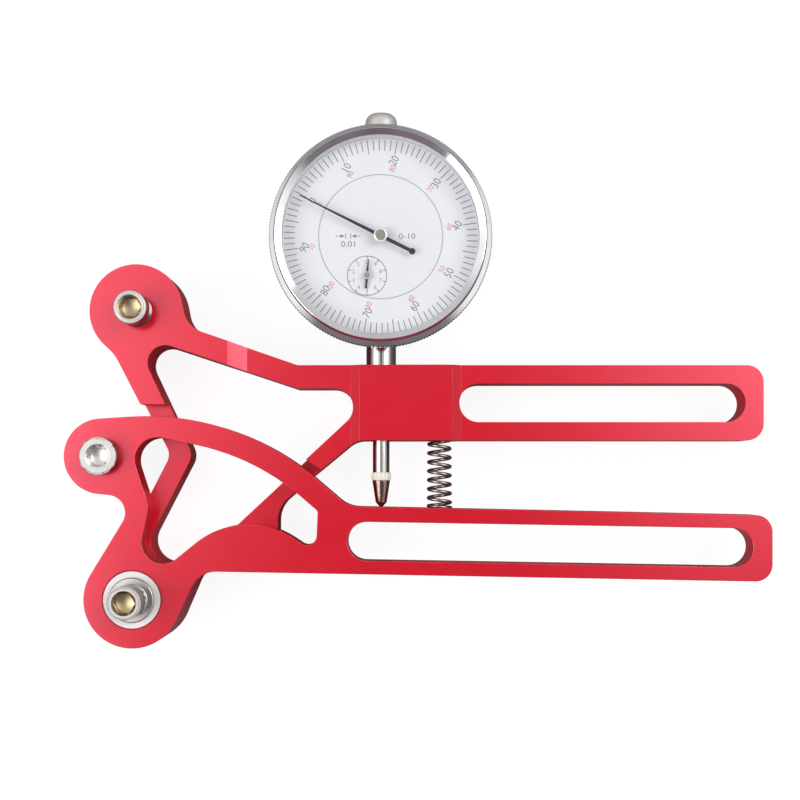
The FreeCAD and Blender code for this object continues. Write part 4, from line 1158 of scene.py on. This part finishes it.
class METER_OT_dial(bpy.types.Operator):
    """Enamels the two dials and prints their ticks and plain numbers"""

    bl_idname = "meter.dial"
    bl_label = "Dial Printing"

    def execute(self, context):
        sizes = context.scene.dial_sizes
        for node in ("inner_dial", "scale_ring"):
            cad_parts[node].material_slots[0].material = finish_named("enamel")
        centre = middle_of("bezel")
        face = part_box("scale_ring")[1].z
        self.print_scale(sizes, centre, face)
        self.print_inner(sizes, centre, face)
        return {"FINISHED"}

    def print_scale(self, sizes, centre, face):
        """The turning outer scale: a hundred ticks, and tens in grey and reversed in red."""
        values = {"start": sizes.zero, "centre": (centre.x, centre.y, 0.0)}
        heights = (face, face + sizes.ink)
        prints = []
        for total, inner, left_out, first in (
            (100, sizes.tick_inner, 5, False),
            (20, sizes.long_tick_inner, NEVER, True),
        ):
            places = {"count": total, "leave_out_every": left_out, "keep_first": first, **values}
            prints.append(tick_prints(sizes.tick_width, inner, sizes.tick_outer, heights, **places))
        returns = []
        for tens in range(0, 100, 10):
            heading = math.pi / 2 + sizes.zero - math.radians(3.6 * tens)
            for number, circle, height, group in (
                (tens, sizes.number_circle, sizes.number_height, prints),
                ((100 - tens) % 100, sizes.return_circle, sizes.return_height, returns),
            ):
                place = place_round(centre, circle, heading)
                group.append(text_print(str(number), height, place, face, sizes.ink, sizes.zero))
        for name, finish, group in (
            ("scale_print", "ink_grey", prints),
            ("scale_return_print", "ink_red", returns),
        ):
            place_piece(name, joined_mesh(name, group), finish, "bezel")

    def print_inner(self, sizes, centre, face):
        """The fixed inner dial: its edge line, the turn counter and the plain numbers beside the hub."""
        top = face + sizes.ink
        counter = middle_of("counter_arbor")
        outer = sizes.counter_circle
        line = sizes.counter_line
        prints = [ring_print("counter_ring", counter, outer, line, face, top, segments=96)]
        values = {"count": 10, "centre": (counter.x, counter.y, 0.0)}
        prints.append(tick_prints(line, outer - sizes.counter_tick, outer, (face, top), **values))
        for number in range(10):
            heading = math.pi / 2 + math.radians(36 * number)
            place = place_round(counter, sizes.counter_numbers, heading)
            prints.append(text_print(str(number), sizes.counter_height, place, face, sizes.ink))
        prints += self.step_mark(sizes, centre, face)
        place_piece("inner_print", joined_mesh("inner_print", prints), "ink_grey", "frame")
        seam = ring_print("seam", centre, sizes.seam_circle, sizes.seam_width, face - sizes.seam_depth, top)
        place_piece("dial_seam", seam, "ink_pale", "frame")

    def step_mark(self, sizes, centre, face):
        """Two arrows that close on a step, over its size, and the range on the other side."""
        ink = sizes.ink
        left = centre.x - sizes.legend_left
        row = centre.y + sizes.legend_rise
        thin = sizes.step_line / 2
        bar = [(x * thin, y * sizes.step_bar) for x, y in SQUARE]
        upper = [(sizes.arrow_head, sizes.arrow_spread), (sizes.arrow_head, thin), (sizes.arrow_tail, thin)]
        arrow = [(0, 0), *upper, *[(x, -y) for x, y in reversed(upper)]]
        prints = []
        for side in (-1, 1):
            for outline, start in ((bar, sizes.step_gap), (arrow, sizes.step_gap + sizes.arrow_gap)):
                placed = [(left + side * (start + x), row + y) for x, y in outline]
                prints.append(prism_mesh("mark", placed, face, face + ink))
        for words, place in (
            ("0.01", (left, row - sizes.legend_drop)),
            ("0-10", (centre.x + sizes.legend_right, row)),
        ):
            prints.append(text_print(words, sizes.legend_height, place, face, ink, narrow=1.15))
        return prints


class METER_OT_pointers(bpy.types.Operator):
    """Paints the pointers and sets their hubs"""

    bl_idname = "meter.pointers"
    bl_label = "Pointers"

    def execute(self, context):
        sizes = context.scene.meter_sizes
        for node, body in (("main_pointer", "centre"), ("small_pointer", "counter")):
            dress(node, "_painted", sizes.paint_edge, "pointer", body, "pointer_black")
        dress("pointer_hub", "_turned", sizes.hub_chamfer, "champagne", "centre", "hub_champagne")
        self.make_small_hub(context.scene.dial_sizes)
        return {"FINISHED"}

    def make_small_hub(self, sizes):
        """The turn counter's pale hub, with a painted highlight on its chamfer."""
        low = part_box("small_pointer")[1].z
        clear = 0.25 * MM
        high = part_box("main_pointer")[0].z - clear
        radius = sizes.counter_hub
        edge = sizes.counter_hub_edge
        profile = [(0, low), (radius, low), (radius, high - edge), (radius - edge, high), (0, high)]
        mesh = lathe_mesh("small_hub", profile, flat_middle("counter_arbor"), "Z", segments=40)
        place_piece("small_hub", mesh, "small_hub", "counter")


class METER_OT_plunger(bpy.types.Operator):
    """Finishes the spindle, its ribbed collar and the contact point"""

    bl_idname = "meter.plunger"
    bl_label = "Plunger"

    def execute(self, context):
        sizes = context.scene.meter_sizes
        dress("spindle", "_polished", sizes.spindle_edge, "stem", "spindle", "post_steel")
        dress("contact_point", "_turned", sizes.tip_edge, "tip", "spindle", "contact_steel")
        collar = joined_mesh("ribbed_collar", self.collar_parts(sizes))
        place_piece("ribbed_collar", collar, "ivory", "spindle", ["contact_collar"])
        return {"FINISHED"}

    def collar_parts(self, sizes):
        """The collar's round body, and the ribs that stand out along it."""
        low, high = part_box("contact_collar")
        middle = middle_of("contact_collar")
        radius = width_of("contact_collar") / 2
        root = radius - sizes.collar_knurl_depth
        edge = sizes.collar_edge
        bore = sizes.collar_bore
        lower_end = [(bore, low.y), (root - edge, low.y), (root, low.y + edge)]
        upper_end = [(root, high.y - edge), (root - edge, high.y), (bore, high.y)]
        axis = Vector((middle.x, 0, middle.z))
        core = lathe_mesh("collar_core", lower_end + upper_end, axis, "Y", segments=72)
        foot = math.pi * radius / sizes.collar_knurl_count * sizes.collar_knurl_share
        crest = foot * sizes.collar_knurl_taper
        sunk = root - SMALL_GAP
        outline = [(-foot, sunk), (foot, sunk), (crest, radius), (-crest, radius)]
        rib = prism_mesh("collar_rib", outline, 0, high.y - low.y - 2 * edge)
        values = {"centre": (middle.x, high.y - edge, middle.z), "tilt": (math.pi / 2, 0.0, 0.0)}
        return core, run_tree("ring_of_copies", rib, count=sizes.collar_knurl_count, **values)


class METER_OT_spring(bpy.types.Operator):
    """Winds the main spring"""

    bl_idname = "meter.spring"
    bl_label = "Main Spring"

    def execute(self, context):
        sizes = context.scene.meter_sizes
        low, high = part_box("main_spring")
        centre = middle_of("main_spring")
        wire = sizes.coil_wire / 2
        radius = width_of("main_spring") / 2 - wire
        mesh = run_tree(
            "compression_coil",
            bpy.data.meshes.new("coil_seed"),
            turns=sizes.coil_turns,
            closed_turns=sizes.coil_closed_turns,
            steps=360,
            low_radius=radius,
            high_radius=radius - sizes.coil_taper,
            wire_radius=wire,
            height=high.y - low.y,
            centre=(centre.x, low.y, centre.z),
            start=sizes.coil_start,
        )
        mesh.shade_smooth()
        piece = place_piece("main_coil", mesh, "coil", None, ["main_spring"])
        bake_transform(piece)
        return {"FINISHED"}


class METER_OT_works(bpy.types.Operator):
    """Finishes the bush, the clamp screw and the movement inside the case"""

    bl_idname = "meter.works"
    bl_label = "Bush, Screw and Movement"

    def execute(self, context):
        plates = ["pivot_bush", "movement_bridge", "bridge_pillars", "movement_cock", "cock_pillars"]
        finishes = {
            "brass": [*plates, "counter_wheel"],
            "arbor": ["counter_arbor", "centre_arbor", "guide_pin"],
            "case": ["guide_rail"],
            "black": ["stem_clamp_screw"],
        }
        for finish, nodes in finishes.items():
            for node in nodes:
                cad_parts[node].material_slots[0].material = finish_named(finish)
        return {"FINISHED"}


class METER_OT_stage(bpy.types.Operator):
    """Sets the floor, the soft light and the camera"""

    bl_idname = "meter.stage"
    bl_label = "Studio"

    def execute(self, context):
        studio = context.scene.meter_studio
        self.make_floor(studio, context.scene.meter_colours)
        self.make_lamps(studio)
        self.make_sky(context.scene, studio)
        self.make_camera(context.scene, studio)
        context.scene.view_settings.view_transform = "Standard"
        return {"FINISHED"}

    def make_floor(self, studio, colours):
        """A pale floor that keeps a soft shadow."""
        half = studio.floor_size / 2
        level = cad_box[0].z - HAIR
        corners = [(x * half, y * half, level) for x, y in SQUARE]
        make_paper("pale_floor", colours, studio.floor_glow)
        mesh = solid_mesh("floor", corners, [range(4)])
        mesh.materials.append(finish_named("pale_floor"))
        floor = new_object("floor", mesh)

    def make_lamps(self, studio):
        """Soft boxes to the left and right of the camera, the left one nearer and a little brighter."""
        target = Vector((0.07, 0.045, 0.0))
        for name, place, level in (
            ("left_soft_box", Vector((-0.34, -0.02, 0.54)), studio.left_level),
            ("right_soft_box", Vector((0.48, 0.24, 0.56)), studio.right_level),
        ):
            lamp = bpy.data.lights.new(name, "AREA")
            lamp.size = studio.lamp_size
            lamp.energy = studio.lamp_power * level
            piece = new_object(name, lamp)
            piece.location = place
            piece.rotation_mode = "QUATERNION"
            piece.rotation_quaternion = (target - place).to_track_quat("-Z", "Y")

    def make_sky(self, scene, studio):
        """Plain white to the camera; what shines mirrors bright sides, a paler far side and a dark middle.

        Each ramp runs over the X, Y or Z of the direction that is looked in.
        """
        world = bpy.data.worlds.new("studio")
        world.use_nodes = True
        tree = world.node_tree
        x, y, z = value_of(tree, "ShaderNodeTexCoord", output="Generated").parts()

        def ramp(value, *ends):
            return value.ramp(*ends, interpolation_type="SMOOTHSTEP")

        sides = ramp(x, -0.19, -0.05, 1.0, 0.0) | ramp(x, 0.07, 0.22)
        panel = ramp(y, -0.09, 0.05, 0.27, 1.50) & ramp(y, 0.15, 0.35, 1.50, 0.80)
        gap = ramp(abs(x), 0.26, 0.40, 1.0, 0.08) | ramp(abs(y), 0.20, 0.35)
        far_side = ramp(y, -0.35, -0.15, 0.21, 0.04) | ramp(y, 0.0, 0.36, 0.04, 0.74)
        edges = ramp(abs(x), 0.50, 0.80, 0.0, 1.30)
        above_floor = ramp(z, 0.10, 0.50, 0.22, 1.0)
        mirrored = (sides.between(far_side, panel * gap) | edges) * above_floor
        lighting = ramp(z, 0.0, 0.8, 0.05, studio.sky)
        shining = ray(tree, "Glossy").between(lighting, mirrored)
        seen = ray(tree, "Camera") | ray(tree, "Transmission")
        near_side = ramp(y, -0.30, -0.10, 1.0, 0.0) * ray(tree, "Glossy")
        brownish = near_side * ramp(abs(x), 0.40, 0.70, 1.0, 0.0)
        background = tree.nodes["Background"].inputs
        give(background["Strength"], seen.between(shining, 1.0))
        give(background["Color"], brownish.colour(WHITE, scene.meter_colours.brownish))
        scene.world = world

    def make_camera(self, scene, studio):
        """A camera that looks straight down on the tool, with its picture shifted to frame it."""
        camera = bpy.data.cameras.new("camera")
        camera.lens = studio.lens * camera.sensor_width
        camera.shift_x = studio.shift_x
        camera.shift_y = studio.shift_y
        camera.clip_start = 0.01
        camera.clip_end = 50.0
        piece = new_object("camera", camera)
        piece.location = (studio.camera_x, studio.camera_y, studio.camera_z)
        scene.camera = piece


# ---------------------------------------------------------------- panel and registration

OPERATORS = (
    METER_OT_finishes,
    METER_OT_stage,
    METER_OT_frames,
    METER_OT_posts,
    METER_OT_gauge_body,
    METER_OT_bezel,
    METER_OT_dial,
    METER_OT_pointers,
    METER_OT_plunger,
    METER_OT_spring,
    METER_OT_works,
)

SETTINGS = {
    "meter_sizes": MeterSizes,
    "dial_sizes": DialSizes,
    "meter_colours": MeterColours,
    "meter_studio": MeterStudio,
}


class METER_PT_panel(bpy.types.Panel):
    """Lists the operators and the settings in the sidebar"""

    bl_idname = "METER_PT_panel"
    bl_label = "Tension Meter"
    bl_space_type = "VIEW_3D"
    bl_region_type = "UI"
    bl_category = "Tension Meter"

    def draw(self, context):
        for operator in OPERATORS:
            self.layout.operator(operator.bl_idname)
        for name in SETTINGS:
            settings = getattr(context.scene, name)
            box = self.layout.box()
            for key in settings.bl_rna.properties.keys():
                if key not in ("rna_type", "name"):
                    box.prop(settings, key, text=key.replace("_", " ").title())


def register():
    for settings in SETTINGS.values():
        bpy.utils.register_class(settings)
    for operator in OPERATORS:
        bpy.utils.register_class(operator)
    bpy.utils.register_class(METER_PT_panel)
    for name, settings in SETTINGS.items():
        setattr(bpy.types.Scene, name, bpy.props.PointerProperty(type=settings))


def unregister():
    for name in SETTINGS:
        delattr(bpy.types.Scene, name)
    bpy.utils.unregister_class(METER_PT_panel)
    for operator in reversed(OPERATORS):
        bpy.utils.unregister_class(operator)
    for settings in reversed(SETTINGS.values()):
        bpy.utils.unregister_class(settings)


def main():
    register()
    for operator in OPERATORS:
        category, name = operator.bl_idname.split(".")
        getattr(getattr(bpy.ops, category), name)()


if __name__ == "__main__":
    main()
